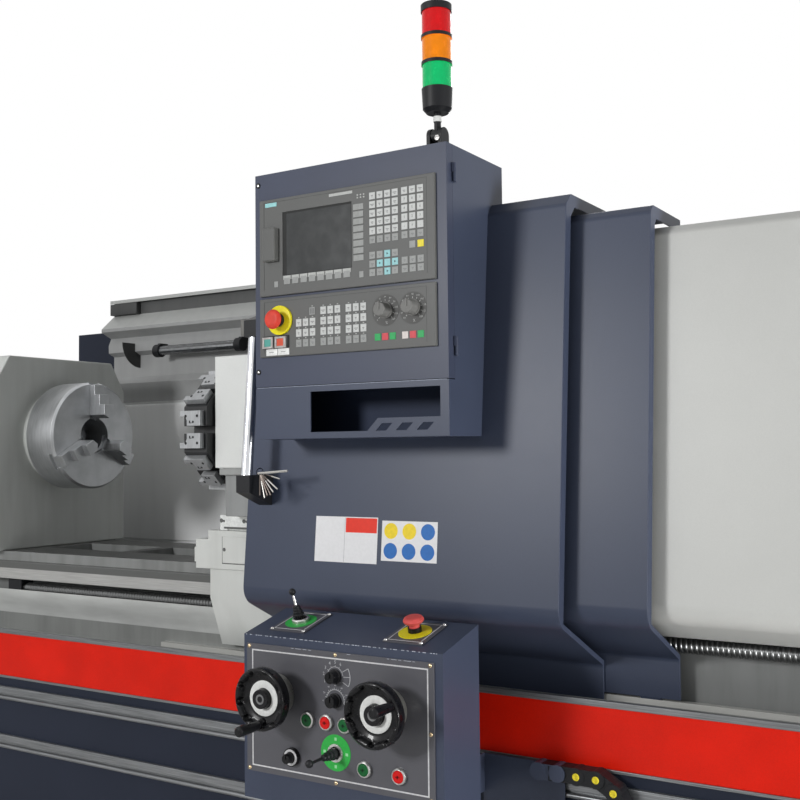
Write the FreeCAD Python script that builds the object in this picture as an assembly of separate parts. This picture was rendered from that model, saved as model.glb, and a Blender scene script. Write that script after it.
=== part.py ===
"""Flat-bed turning lathe with a carriage-mounted control box and console.

Frame: millimetres, +X along the spindle axis towards the tailstock, +Y away
from the operator, +Z up. The origin is on the floor below the middle of the
machine, and the spindle axis runs at Y = 0.
"""
import FreeCAD, Part
import math
import os

V = FreeCAD.Vector

# ---------------------------------------------------------------- main sizes
LENGTH = 3400.0            # over the foot lugs
REAR_REACH = 695.0         # back of the electrical cabinet from the spindle axis
SPINDLE_Z = 1255.0         # spindle axis above the floor
CENTRE_HEIGHT = 330.0      # spindle axis above the ways
SLIDE_GAP = 0.3            # between flat sliding faces
RUNNING = 0.05             # radial clearance of a shaft in its bore
WAY_Z = SPINDLE_Z - CENTRE_HEIGHT

# ---------------------------------------------------------------- base
BASE_FRONT = -278.0
BASE_BACK = 510.0
BASE_TOP = 600.0
BASE_TOE = 110.0           # height of the recess for the operator's toes
BASE_TOE_DEPTH = 60.0
LUG_REACH = 80.0           # foot lugs beyond the base ends
LUG_WIDTH = 110.0
LUG_HEIGHT = 40.0
ANCHOR_HOLE_R = 11.0
CABINET_LENGTH = 800.0
CABINET_INSET = 200.0      # cabinet from the end of the lugs
CABINET_TOP = 1640.0
HALF = LENGTH / 2.0
CABINET_X0 = CABINET_INSET - HALF
CABINET_X1 = CABINET_X0 + CABINET_LENGTH
BASE_X = HALF - LUG_REACH

# ---------------------------------------------------------------- front trim
BAND_Y = -285.0            # face of the painted band
BAND_Z0 = 598.0
BAND_Z1 = 712.0
TRIM_TOP = 12.0            # height of the moulding above the band
TRIM_BOTTOM = 6.0
TRIM_PROUD = 3.0
RAIL_ZS = (568.0, 438.0)   # top edges of the two slotted rails
RAIL_HEIGHT = 34.0
RAIL_DEPTH = 12.0
RAIL_SLOT = 5.0
RAIL_LIP_R = 5.0

# ---------------------------------------------------------------- chip tray
TRAY_SHELF_Z = 690.0
TRAY_LIP = 6.0
GUIDE_Y0 = -182.0          # guide rail of the sliding guards
GUIDE_Y1 = -164.0
GUIDE_TOP = 713.0
GUIDE_START = -400.0
SLOT_DEPTH = 30.0
CHIP_SHEET = [(-164.0, 745.0), (-176.0, 775.0), (-190.0, 797.0), (-192.0, 816.0)]
TROUGH_Z = 796.0
SHEET_END = 325.0          # the chip sheet stops short of the middle guard
TRAY_BACK_Z = 860.0
TRAY_WALL = 4.0
END_RIM = 64.0

# ---------------------------------------------------------------- bed
COVER_LENGTH = 100.0       # end cover beyond the bed
BED_INSET = 250.0          # tail end of the bed from the end of the lugs
BED_X0 = COVER_LENGTH - HALF
BED_X1 = HALF - BED_INSET
WAY_FRONT = (-200.0, -70.0)
WAY_REAR = (90.0, 220.0)
WAY_LIP = 78.0             # height of the flange that carries each way
WAY_GROOVE = 28.0          # groove below the way's top edge
BED_WALL_FRONT = -145.0
BED_WALL_REAR = 165.0
BED_POCKET_Z = 720.0
BED_RIB_PITCH = 340.0
BED_RIB = 40.0

# ---------------------------------------------------------------- headstock
HEAD_X1 = -1000.0
HEAD_Y = (-240.0, 260.0)
HEAD_TOP = 1490.0
HEAD_CHAMFER = 90.0
COVER_BOTTOM = 700.0
COVER_ROUND = 40.0

# ---------------------------------------------------------------- spindle
SPINDLE_BORE_R = 41.0
SPINDLE_R = 62.0
NOSE_R = 105.0
NOSE_LENGTH = 40.0
CHUCK_R = 157.5
CHUCK_LENGTH = 110.0
CHUCK_BORE_R = 52.0
JAW_WIDTH = 36.0
JAW_DEPTH = 24.0
JAW_HEIGHT = 62.0
JAW_INNER_R = 60.0
JAW_OUTER_R = 150.0
JAW_COUNT = 3

# ---------------------------------------------------------------- feed screw
SCREW_Y = -172.0
SCREW_Z = 821.0
SCREW_R = 16.0
SCREW_X0 = -940.0
SCREW_INSET = 70.0         # end of the screw from the end of the bed
SCREW_X1 = BED_X1 - SCREW_INSET
BRACKET_LENGTH = 56.0
BRACKET_Y0 = -187.5
BRACKET_Z = (798.0, 846.5)
FEED_MOTOR = 90.0
MOTOR_LENGTH = 90.0

# ---------------------------------------------------------------- tailstock
TAIL_X0 = 930.0
TAIL_X1 = 1200.0
TAIL_HALF = 150.0
TAIL_BARREL_R = 82.0
QUILL_R = 40.0
QUILL_OUT = 70.0
CENTRE_LENGTH = 80.0
TAIL_WHEEL_R = 110.0

# ---------------------------------------------------------------- carriage
SADDLE_X0 = -175.0
SADDLE_X1 = 345.0
SADDLE_FRONT = -250.0
SADDLE_REAR = 262.0
SADDLE_TOP = WAY_Z + 87.0
SADDLE_BOTTOM = 848.0
WING = 40.0                # wiper blocks beyond the saddle
WING_TOP = WAY_Z + 65.0
WING_LIP = 6.0             # front of the wing below the way's top
WIPER = 12.0
APRON_X1 = 60.0
APRON_STEP = 7.0           # the apron stands back from the saddle's face
APRON_FOOT = (-200.0, 730.0)
NUT_Z = 822.0              # underside of the half nut
COVER_PLATE = (-128.0, 935.0, 998.0)
ARM_X0 = 228.0
ARM_X1 = 338.0
ARM_Z0 = 738.0
ARM_Z1 = 776.0
ARM_ROOT = -225.0
BRACKETS_X = (96.0, 300.0)  # guard brackets on the saddle's face
SLIDE_X0 = -139.0
SLIDE_X1 = 105.0
SLIDE_REAR = 60.0
SLIDE_TOP = WAY_Z + 125.0

# ---------------------------------------------------------------- turret
TURRET_Y = -200.0
DISC_X0 = -178.0
DISC_X1 = -106.0
DISC_APOTHEM = 130.0
STATIONS = 8
CLAMP_DEPTH = 15.0
CLAMP_HEIGHT = 36.0
CLAMP_SLOT = 17.0
CLAMP_NOTCH = 22.0
HOUSING_X0 = -103.0
HOUSING_X1 = 75.0
HOUSING_Y0 = -307.0
HOUSING_Y1 = -93.0
HOUSING_Z0 = 1164.0
HOUSING_Z1 = 1427.0
FLANGE_Z0 = 1147.0

# ---------------------------------------------------------------- sliding guards
SHEET = 3.0
FLANGES = (24.0, 30.0, 24.0, 10.0, 6.0)   # depth of the end flanges, lip to skirt
GUARD_X0 = 65.0
GUARD_X1 = 811.0
MIDDLE_X0 = 555.0
MIDDLE_X1 = 963.0
INNER_X0 = 700.0
INNER_INSET = 140.0        # inner guard from the end of the lugs
INNER_X1 = HALF - INNER_INSET
MIDDLE_STEPS = (36.0, 47.0, 42.0, 24.0, 6.0)   # behind the front guard, lip to skirt
INNER_STEPS = (72.0, 100.0, 84.0, 48.0, 12.0)
GUARD_TOP = 1692.0
LIP_BACK = -116.0
LIP_FRONT = -311.0
CREASE = (-334.0, 1668.0)
BEND = (-405.5, 879.5)
BEND_R = 44.0
SKIRT_Y = -190.0
SKIRT_TOP = 771.0
SKIRT_BOTTOM = 700.0
INNER_END_Y = -230.0
FOOT_GAP = 4.0             # end flanges above the guide rail
FLANGE_FOOT = GUIDE_TOP + FOOT_GAP

# ---------------------------------------------------------------- control box
PANEL_X = 200.0            # left edge of the display panel
PANEL_TOP = 1720.0         # its upper edge
DOOR_Y = -500.0            # front of the door
BOX_X0 = 184.3
BOX_X1 = 642.9
BOX_TOP = 1776.3
DOOR_BOTTOM = 1333.7
TRAY_SECTION_TOP = 1332.0
TRAY_SECTION_BOTTOM = 1226.4
BOX_BACK = -269.0
DOOR_THICK = 23.0
BOX_SHEET = 3.0
DISPLAY_SIZE = (420.0, 200.0)
OPERATOR_SIZE = (420.0, 120.0)
OPERATOR_TOP = -205.8
BEZEL = 6.0
SCREEN = (60.0, 232.0, -161.0, -30.0)
SCREEN_DEPTH = 3.5
KEY_RISE = 0.9
KEY = 13.5                 # side of a square key
# first key's centre, columns, rows, pitch across, pitch down, width, height
KEY_BLOCKS = [
    (280.8, -26.0, 4, 6, 17.3, 17.2, KEY, KEY),
    (354.0, -25.6, 3, 6, 17.5, 17.0, KEY, KEY),
    (371.2, -130.3, 2, 1, 18.0, 0, KEY, KEY),
    (280.0, -142.0, 4, 3, 17.3, 16.9, KEY, KEY),
    (353.8, -159.2, 3, 2, 17.6, 16.4, KEY, KEY),
    (248.0, -43.0, 1, 8, 0, 14.35, 24.0, 11.5),
    (72.0, -172.5, 8, 1, 21.1, 0, 16.0, 13.0),
    (44.0, -177.0, 1, 1, 0, 0, 10.0, 12.0),
    (254.5, -176.5, 1, 1, 0, 0, 10.0, 12.0),
    (101.0, -260.2, 3, 3, 17.2, 20.7, KEY, 15.0),
    (134.6, -238.8, 1, 1, 0, 0, KEY, 15.0),
    (162.0, -239.5, 3, 4, 17.3, 20.7, KEY, 15.0),
    (223.2, -239.5, 3, 4, 17.4, 20.7, KEY, 15.0),
    (291.0, -301.5, 3, 1, 17.0, 0, KEY, KEY),
    (353.0, -301.5, 3, 1, 17.2, 0, KEY, KEY),
]
HINGE_R = 4.0
HINGE_ZS = (1722.0, 1394.0)
HINGE_HALF = 18.0

# ---------------------------------------------------------------- console
CONSOLE_X0 = 201.0
CONSOLE_X1 = 657.2
CONSOLE_FRONT = -560.0
CONSOLE_BACK = -425.0
CONSOLE_Z0 = 520.0
CONSOLE_Z1 = 839.0
CONSOLE_RISE = 33.0
FASCIA = 3.0
FASCIA_X = (210.5, 640.0)
FASCIA_Z = (574.0, 822.4)
WHEEL_XS = (298.0, 552.0)
WHEEL_Z = 733.5
WHEEL_R = 59.0
RIM = 11.0
RIM_BACK = -612.0
RIM_FRONT = -635.0
WEB_Y = -618.0
DIAL_R = 40.0
DIAL_BACK = -577.0
DIAL_FRONT = -600.0
HUB_R = 19.0
GRIP_OFFSETS = ((0.0, -47.0), (43.0, 22.0))
GRIP_R = 10.0
GRIP_LENGTH = 60.0
GRIP_END = RIM_FRONT - GRIP_LENGTH
PIN_R = 4.0
KNOB_R = 12.0
KNOB_X = 425.0
KNOB_ZS = (777.4, 732.5)
SELECTOR = (324.0, 615.0)
BEZEL_R = 15.0
BUTTON_R = 11.5
BUTTON_TRAVEL = 4.0
BUTTONS = {"button_green_left": (362.0, 689.5), "button_red_left": (405.6, 690.2),
           "button_green_right": (448.0, 690.2), "button_green_low": (491.4, 615.4),
           "button_red_low": (567.0, 614.0)}
STICK = (425.4, 635.8)
STICK_REACH = 83.0
TOP_STICK = (288.0, -487.0)
TOP_STOP = (557.0, -488.0)
TOP_PLATE = (86.0, 98.0)
TOP_STICK_LEAN = -8.0
TOP_PIVOT = 14.0           # cross pin below the plate
TOP_BOOT = (13.0, 34.0)
STICK_BOOT = (8.0, 44.0)
BOOT_RIBS = 4

parts = {}
GUARD_PATH = [(LIP_BACK, GUARD_TOP), (LIP_FRONT, GUARD_TOP), CREASE, BEND, (SKIRT_Y, SKIRT_TOP),
              (SKIRT_Y, SKIRT_BOTTOM)]
GUARD_BENDS = [0, 10.0, 16.0, BEND_R, 12.0, 0]
REAR_WALL_Y = 500.0
HOOD_DEPTH = 26.0
RIM_DEPTH = 22.0           # top rim of the rear guard in front of its wall
RIM_Z = (1735.0, 1747.0)
HOOD = [(0, 1692.0), (60.0, 1640.0), (60.0, 1632.0), (14.0, 1612.0)]   # depth and height of its folds
LAMP_SEAT = (1585.0, 1560.0)
REAR_RIB = [(0, 1548.0), (0, 1470.0), (16.0, 1448.0), (2.0, 1424.0), (2.0, 1382.0)]
REAR_STEP = 6.0            # lower wall behind the upper wall
REAR_STEP_Z = (1374.0, 1364.0)
REAR_FOOT_Z = 903.0
GUARD_REAR_X0 = -1300.0
LAMP = (-1030.0, -644.0, 436.0, 1549.0)   # ends, Y and Z of the work lamp
LAMP_R = 16.0
LAMP_CAP_R = 22.0
LAMP_CAP = 26.0            # length of an end cap
HANDLE_X = 114.7
HANDLE_Z = (1151.0, 1450.0)   # ends of the tube
HANDLE_R = 12.5
HANDLE_STAND = 67.0           # tube axis in front of the guard's face
HANDLE_BLOCK = 36.5
HANDLE_WEDGE = 30.0
TRAY_OPENING = [(124.0, -400.0), (424.0, -400.0), (424.0, -456.5), (285.0, -456.5),
                (260.5, -481.0), (124.0, -481.0)]
TRAY_WINDOW = [(280.0, -481.0), (294.5, -466.8), (318.0, -466.8), (303.5, -481.0)]
TRAY_WINDOW_PITCH = 46.0
OVERRIDES = {"override_knob_feed": (308.8, -251.0), "override_knob_speed": (370.3, -250.0)}
PANEL_STOP = (54.0, -252.0)
LIT_BUTTONS = {"lit_button_green": (24.5, -297.0), "lit_button_red": (56.5, -297.0)}
LIT_HALF = (11.0, 10.0)
LIT_TRAVEL = 3.0
STEM_R = 3.0
STOP_STEM_R = 10.0
STOP_HEAD_R = 20.0
STOP_HEIGHT = 32.0
STOP_TRAVEL = 5.0
TOWER_X = 568.0
TOWER_Y = -400.0
TOWER_PIVOT = 1822.0
TOWER_PIN = 9.0
TOWER_R = 29.0
TOWER_CAP_R = 31.0
TOWER_BASE_Z = 1868.0
TOWER_BASE_H = 49.0
LENS_H = 47.0
LENS_RING = 7.0
TOWER_TOP_H = 14.0
CONSOLE_SLOPE = CONSOLE_RISE / (CONSOLE_BACK - CONSOLE_FRONT)
TOP_ANGLE = math.degrees(math.atan(CONSOLE_SLOPE))
WHEEL_SHAFT_R = 8.0
SHAFT_DEPTH = 24.0
GIMBAL_R = 14.0
PLATE = 3.0
SCALLOPS = 9
SCALLOP_R = 7.0
CHAIN_X = 730.0            # first joint of the chain on its plate
CHAIN_Y = (-330.0, -298.0)
CHAIN_Z = 588.0
CHAIN_PITCH = 39.0
CHAIN_TURN = 30.0          # degrees between two links in the bend
CHAIN_R = 16.5
CHAIN_LOWER = 5
PLATE_X1 = 772.0
PLATE_Z = (500.0, 597.0)


# ---------------------------------------------------------------- helpers
def block(x0, x1, y0, y1, z0, z1):
    """A box between two corners."""
    return Part.makeBox(x1 - x0, y1 - y0, z1 - z0, V(x0, y0, z0))


def rod(start, direction, radius, length):
    """A cylinder from a start point along a direction."""
    return Part.makeCylinder(radius, length, V(*start), V(*direction))


def prism(points, origin, u, v, depth):
    """Extrude a flat outline; u and v span its plane, depth is the vector."""
    corners = [V(*origin) + V(*u) * a + V(*v) * b for a, b in points]
    face = Part.Face(Part.makePolygon(corners + corners[:1]))
    return face.extrude(V(*depth))


def prism_x(points_yz, x0, x1):
    """Extrude an outline in the YZ plane from x0 to x1."""
    return prism(points_yz, (x0, 0, 0), (0, 1, 0), (0, 0, 1), (x1 - x0, 0, 0))


def prism_y(points_xz, y0, y1):
    """Extrude an outline in the XZ plane from y0 to y1."""
    return prism(points_xz, (0, y0, 0), (1, 0, 0), (0, 0, 1), (0, y1 - y0, 0))


def turned(points, origin, axis):
    """Revolve an outline of (radius, station) pairs about an axis."""
    along = V(*axis)
    side = V(0, 0, 1) if abs(along.z) < 0.5 else V(1, 0, 0)
    corners = [V(*origin) + side * r + along * s for r, s in points]
    face = Part.Face(Part.makePolygon(corners + corners[:1]))
    return face.revolve(V(*origin), along, 360)


def offset_path(path, steps):
    """Shift each run of an open path to its right by its own step."""
    lines = []
    for (a, b), step in zip(zip(path, path[1:]), steps):
        length = math.hypot(b[0] - a[0], b[1] - a[1])
        du, dv = (b[0] - a[0]) / length, (b[1] - a[1]) / length
        lines.append(((a[0] + dv * step, a[1] - du * step), (du, dv)))
    points = [lines[0][0]]
    for (p, d), (q, e) in zip(lines, lines[1:]):
        cross = d[0] * e[1] - d[1] * e[0]
        t = ((q[0] - p[0]) * e[1] - (q[1] - p[1]) * e[0]) / cross
        points.append((p[0] + d[0] * t, p[1] + d[1] * t))
    a, b = path[-2:]
    last, run = lines[-1]
    t = (b[0] - last[0]) * run[0] + (b[1] - last[1]) * run[1]
    points.append((last[0] + run[0] * t, last[1] + run[1] * t))
    return points


def rounded(points, radii, origin_x, width):
    """Extrude a YZ outline along X with its corners rounded by tangent arcs."""
    edges = []
    ends = []
    count = len(points)
    for i, (p, r) in enumerate(zip(points, radii)):
        here = V(0, *p)
        back = (V(0, *points[i - 1]) - here).normalize()
        ahead = (V(0, *points[(i + 1) % count]) - here).normalize()
        if r <= 0:
            ends.append((here, here, None))
            continue
        half = back.getAngle(ahead) / 2.0
        reach = r / math.tan(half)
        middle = (back + ahead).normalize()
        arc_mid = here + middle * (r / math.sin(half) - r)
        ends.append((here + back * reach, here + ahead * reach, arc_mid))
    for i, (start, end, mid) in enumerate(ends):
        if mid is not None:
            edges.append(Part.Arc(start, mid, end).toShape())
        following = ends[(i + 1) % count][0]
        if (following - end).Length > 1e-6:
            edges.append(Part.LineSegment(end, following).toShape())
    face = Part.Face(Part.Wire(edges))
    solid = face.extrude(V(width, 0, 0))
    solid.translate(V(origin_x, 0, 0))
    return solid


def fuse(*shapes):
    """Join solids into one and drop the seams."""
    whole = shapes[0]
    for other in shapes[1:]:
        whole = whole.fuse(other)
    return whole.removeSplitter()


def group(shapes):
    """Several separate solids in one node."""
    return Part.makeCompound(list(shapes))


def z_edges(shape, test):
    """Edges of a shape whose centre passes a test."""
    return [e for e in shape.Edges if test(e.CenterOfMass)]


# ---------------------------------------------------------------- base
def base_stand():
    """Welded base with a toe recess, four anchor lugs and the rear cabinet."""
    toe_y = BASE_FRONT + BASE_TOE_DEPTH
    profile = [(BASE_FRONT, BASE_TOE), (BASE_FRONT, BASE_TOP), (BASE_BACK, BASE_TOP), (BASE_BACK, 0),
               (toe_y, 0),
               (toe_y, BASE_TOE)]
    solids = [prism_x(profile, -BASE_X, BASE_X)]
    solids.append(block(CABINET_X0, CABINET_X1, BASE_BACK, REAR_REACH, 0, CABINET_TOP))
    for sign in (-1, 1):
        for y0 in (toe_y, BASE_BACK - LUG_WIDTH):
            x0, x1 = sorted((sign * (BASE_X - 1), sign * HALF))
            lug = block(x0, x1, y0, y0 + LUG_WIDTH, 0, LUG_HEIGHT)
            hole_x = sign * (HALF - LUG_REACH / 2.0)
            hole = rod((hole_x, y0 + LUG_WIDTH / 2.0, -1), (0, 0, 1), ANCHOR_HOLE_R, LUG_HEIGHT + 2)
            solids.append(lug.cut(hole))
    return fuse(*solids)


def front_band():
    """Painted steel strip across the front of the tray."""
    return block(-BASE_X, BASE_X, BAND_Y, BASE_FRONT, BAND_Z0, BAND_Z1)


def slotted_rail(top):
    """Aluminium profile: a flat, a slot along it and a rounded lower lip."""
    y0 = BASE_FRONT - RAIL_DEPTH
    foot = top - RAIL_HEIGHT
    slot = foot + 2 * RAIL_LIP_R
    profile = [(BASE_FRONT, foot), (y0, foot), (y0, slot), (y0 + RAIL_DEPTH / 2.0, slot),
               (y0 + RAIL_DEPTH / 2.0, slot + RAIL_SLOT), (y0, slot + RAIL_SLOT), (y0 + 2.0, top),
               (BASE_FRONT, top)]
    body = prism_x(profile, -BASE_X, BASE_X)
    lip = rod((-BASE_X, y0, foot + RAIL_LIP_R), (1, 0, 0), RAIL_LIP_R, 2 * BASE_X)
    return fuse(body, lip)


def front_trims():
    """The mouldings over and under the band, and the two slotted rails."""
    y0 = BAND_Y - TRIM_PROUD
    upper = block(-BASE_X, BASE_X, y0, BASE_FRONT, BAND_Z1, BAND_Z1 + TRIM_TOP)
    lower = block(-BASE_X, BASE_X, y0, BASE_FRONT, BAND_Z0 - TRIM_BOTTOM, BAND_Z0)
    return group([upper, lower] + [slotted_rail(top) for top in RAIL_ZS])


def chip_tray():
    """Folded tray round the bed, with the chip sheet and the guide rail."""
    rim_x = BASE_X - END_RIM
    lip = [(BASE_FRONT, BASE_TOP), (BASE_FRONT, BAND_Z1 + TRIM_TOP),
           (BASE_FRONT + TRAY_LIP, BAND_Z1 + TRIM_TOP), (BASE_FRONT + TRAY_LIP, TRAY_SHELF_Z)]
    sheet = CHIP_SHEET
    back = [(y + 1.5, z) for y, z in sheet[:1:-1]]
    high = lip + [(GUIDE_Y1, TRAY_SHELF_Z)] + sheet + back
    high += [(BED_WALL_FRONT, TROUGH_Z), (BED_WALL_FRONT, BASE_TOP)]
    low = lip + [(BED_WALL_FRONT, TRAY_SHELF_Z), (BED_WALL_FRONT, BASE_TOP)]
    rear = [(BED_WALL_REAR, BASE_TOP), (BED_WALL_REAR, GUIDE_TOP),
            (BASE_BACK - TRAY_WALL, TRAY_BACK_Z - 60.0), (BASE_BACK - TRAY_WALL, TRAY_BACK_Z),
            (BASE_BACK, TRAY_BACK_Z), (BASE_BACK, BASE_TOP)]
    solids = [prism_x(high, BED_X0, SHEET_END), prism_x(low, SHEET_END, rim_x), prism_x(rear, BED_X0,
                                                                                        rim_x),
              block(BED_X1, rim_x, BED_WALL_FRONT, BED_WALL_REAR, BASE_TOP, TRAY_SHELF_Z),
              block(rim_x, BASE_X, BASE_FRONT, BASE_BACK, BASE_TOP, BAND_Z1 + TRIM_TOP),
              block(GUIDE_START, rim_x, GUIDE_Y0, GUIDE_Y1, TRAY_SHELF_Z, GUIDE_TOP)]
    groove = block(HEAD_X1, GUIDE_START, BASE_FRONT + TRAY_LIP, GUIDE_Y1,
                   TRAY_SHELF_Z - SLOT_DEPTH, TRAY_SHELF_Z + 1)
    return fuse(*solids).cut(groove).removeSplitter()


# ---------------------------------------------------------------- bed
def bed():
    """Cast bed with two undercut ways and ribbed chip pockets between them."""
    zl = WAY_Z - WAY_LIP
    profile = [(BED_WALL_FRONT, BASE_TOP), (BED_WALL_FRONT, zl), (WAY_FRONT[0], zl),
               (WAY_FRONT[0], WAY_Z), (WAY_REAR[1], WAY_Z), (WAY_REAR[1], zl),
               (BED_WALL_REAR, zl), (BED_WALL_REAR, BASE_TOP)]
    casting = prism_x(profile, BED_X0, BED_X1)
    groove_z = WAY_Z - WAY_GROOVE
    groove = block(BED_X0, BED_X1, WAY_FRONT[0], WAY_FRONT[0] + 2.5, groove_z - 2.0, groove_z + 1.5)
    casting = casting.cut(groove)
    pockets = []
    x = HEAD_X1 + BED_RIB
    while x + BED_RIB_PITCH - BED_RIB < BED_X1:
        x1 = x + BED_RIB_PITCH - BED_RIB
        pockets.append(block(x, x1, WAY_FRONT[1], WAY_REAR[0], BED_POCKET_Z, WAY_Z + 1))
        x += BED_RIB_PITCH
    return casting.cut(group(pockets))


def headstock():
    """Gearbox casting with a bored spindle seat and a chamfered top."""
    y0, y1 = HEAD_Y
    profile = [(y0, WAY_Z), (y0, HEAD_TOP - HEAD_CHAMFER), (y0 + HEAD_CHAMFER * 0.6, HEAD_TOP),
               (y1 - HEAD_CHAMFER * 0.6, HEAD_TOP), (y1, HEAD_TOP - HEAD_CHAMFER), (y1, WAY_Z)]
    casting = prism_x(profile, BED_X0, HEAD_X1)
    ring = rod((HEAD_X1, 0, SPINDLE_Z), (1, 0, 0), NOSE_R + 30.0, NOSE_LENGTH * 0.4)
    bore = rod((BED_X0 - 1, 0, SPINDLE_Z), (1, 0, 0), SPINDLE_R + RUNNING, HEAD_X1 - BED_X0 + NOSE_LENGTH)
    return fuse(casting, ring).cut(bore)


def end_cover():
    """Sheet cover over the belt drive, with the hole for bar stock."""
    y0, y1 = HEAD_Y
    cover = block(-HALF, -HALF + COVER_LENGTH, y0, y1, COVER_BOTTOM, HEAD_TOP - HEAD_CHAMFER)
    corners = z_edges(cover, lambda c: abs(c.x + HALF) < 1e-6 and abs(c.z - SPINDLE_Z) > 1 and
                      abs(c.y - (y0 + y1) / 2.0) > 1)
    cover = cover.makeFillet(COVER_ROUND, corners) if corners else cover
    inside = rod((-HALF + SHEET, 0, SPINDLE_Z), (1, 0, 0), SPINDLE_R + 20.0, COVER_LENGTH)
    hole = rod((-HALF - 1, 0, SPINDLE_Z), (1, 0, 0), SPINDLE_BORE_R + 9.0, COVER_LENGTH)
    return cover.cut(inside).cut(hole)


# ---------------------------------------------------------------- spindle and chuck
def spindle():
    """Hollow spindle with its nose flange."""
    x0 = -HALF + SHEET + 12.0
    x1 = HEAD_X1 + NOSE_LENGTH
    flange_x = HEAD_X1 + NOSE_LENGTH * 0.4 + SLIDE_GAP
    body = rod((x0, 0, SPINDLE_Z), (1, 0, 0), SPINDLE_R, x1 - x0)
    flange = rod((flange_x, 0, SPINDLE_Z), (1, 0, 0), NOSE_R, x1 - flange_x)
    bore = rod((x0 - 1, 0, SPINDLE_Z), (1, 0, 0), SPINDLE_BORE_R, x1 - x0 + 2)
    return fuse(body, flange).cut(bore)


def radial(shape, angle):
    """Turn a shape about the spindle axis."""
    copy = shape.copy()
    copy.rotate(V(0, 0, SPINDLE_Z), V(1, 0, 0), angle)
    return copy


def jaw_slot(gap):
    """The T-shaped path of one jaw in the chuck's face, pointing up."""
    face = HEAD_X1 + NOSE_LENGTH + CHUCK_LENGTH
    half = JAW_WIDTH / 2.0 + gap
    neck = block(face - JAW_DEPTH - gap, face + 1, -half, half, SPINDLE_Z, SPINDLE_Z + CHUCK_R + 1)
    foot = block(face - JAW_DEPTH - gap, face - JAW_DEPTH / 2.0 + gap, -half - 8.0, half + 8.0,
                 SPINDLE_Z, SPINDLE_Z + CHUCK_R + 1)
    return neck.fuse(foot)


def chuck_body():
    """Chuck body with a through bore and three T slots."""
    x0 = HEAD_X1 + NOSE_LENGTH
    body = turned([(CHUCK_BORE_R, 0), (CHUCK_R, 0), (CHUCK_R, CHUCK_LENGTH - 6.0),
                   (CHUCK_R - 6.0, CHUCK_LENGTH), (CHUCK_BORE_R, CHUCK_LENGTH)], (x0, 0, SPINDLE_Z),
                   (1, 0, 0))
    for i in range(JAW_COUNT):
        body = body.cut(radial(jaw_slot(RUNNING), 360.0 / JAW_COUNT * i))
    return body


def chuck_jaw():
    """One stepped jaw in its rest place, pointing up."""
    face = HEAD_X1 + NOSE_LENGTH + CHUCK_LENGTH
    half = JAW_WIDTH / 2.0
    z0 = SPINDLE_Z + JAW_INNER_R
    z1 = SPINDLE_Z + JAW_OUTER_R
    keep = block(face - JAW_DEPTH, face + 1, -half - 8.0, half + 8.0, z0, z1)
    foot = jaw_slot(0).common(keep)
    step = (z1 - z0) / 3.0
    steps = [block(face, face + JAW_HEIGHT - i * JAW_HEIGHT / 3.0, -half, half, z0 + i * step,
                   z0 + (i + 1) * step)
             for i in range(3)]
    nose = prism([(-half, 0), (half, 0), (0, -10.0)], (face, 0, z0), (0, 1, 0), (0, 0, 1),
                 (JAW_HEIGHT, 0, 0))
    return fuse(foot, nose, *steps)


# ---------------------------------------------------------------- feed screw
def feed_screw():
    """Ball screw along the front of the bed, with turned-down ends."""
    neck = SCREW_R * 0.7
    length = SCREW_X1 - SCREW_X0
    return turned([(0, -BRACKET_LENGTH), (neck, -BRACKET_LENGTH), (neck, 0), (SCREW_R, 0),
                   (SCREW_R, length),
                   (neck, length), (neck, length + BRACKET_LENGTH), (0, length + BRACKET_LENGTH)],
                  (SCREW_X0, SCREW_Y, SCREW_Z), (1, 0, 0))


def feed_drive():
    """The two bearing brackets of the screw and the servo motor."""
    neck = SCREW_R * 0.7 + RUNNING
    solids = []
    for x0 in (SCREW_X0 - BRACKET_LENGTH, SCREW_X1 + SLIDE_GAP):
        x1 = x0 + BRACKET_LENGTH - SLIDE_GAP
        bracket = block(x0, x1, BRACKET_Y0, BED_WALL_FRONT, BRACKET_Z[0], BRACKET_Z[1])
        hole = rod((x0 - 1, SCREW_Y, SCREW_Z), (1, 0, 0), neck, BRACKET_LENGTH + 2)
        solids.append(bracket.cut(hole))
    x0 = SCREW_X1 + BRACKET_LENGTH
    x1 = BED_X1
    half = FEED_MOTOR / 2.0
    plate = block(x0, x1, BRACKET_Y0, BED_WALL_FRONT, BRACKET_Z[0], BRACKET_Z[1])
    motor = block(x1, x1 + MOTOR_LENGTH, SCREW_Y - half, SCREW_Y + half, SCREW_Z - half, SCREW_Z + half)
    motor = motor.makeChamfer(6.0, z_edges(motor, lambda c: abs(c.x - x1 - MOTOR_LENGTH / 2.0) < 1))
    plate = plate.cut(rod((x0 - 1, SCREW_Y, SCREW_Z), (1, 0, 0), neck, BRACKET_LENGTH / 2.0))
    return group([solids[0], fuse(solids[1], plate, motor)])


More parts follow.
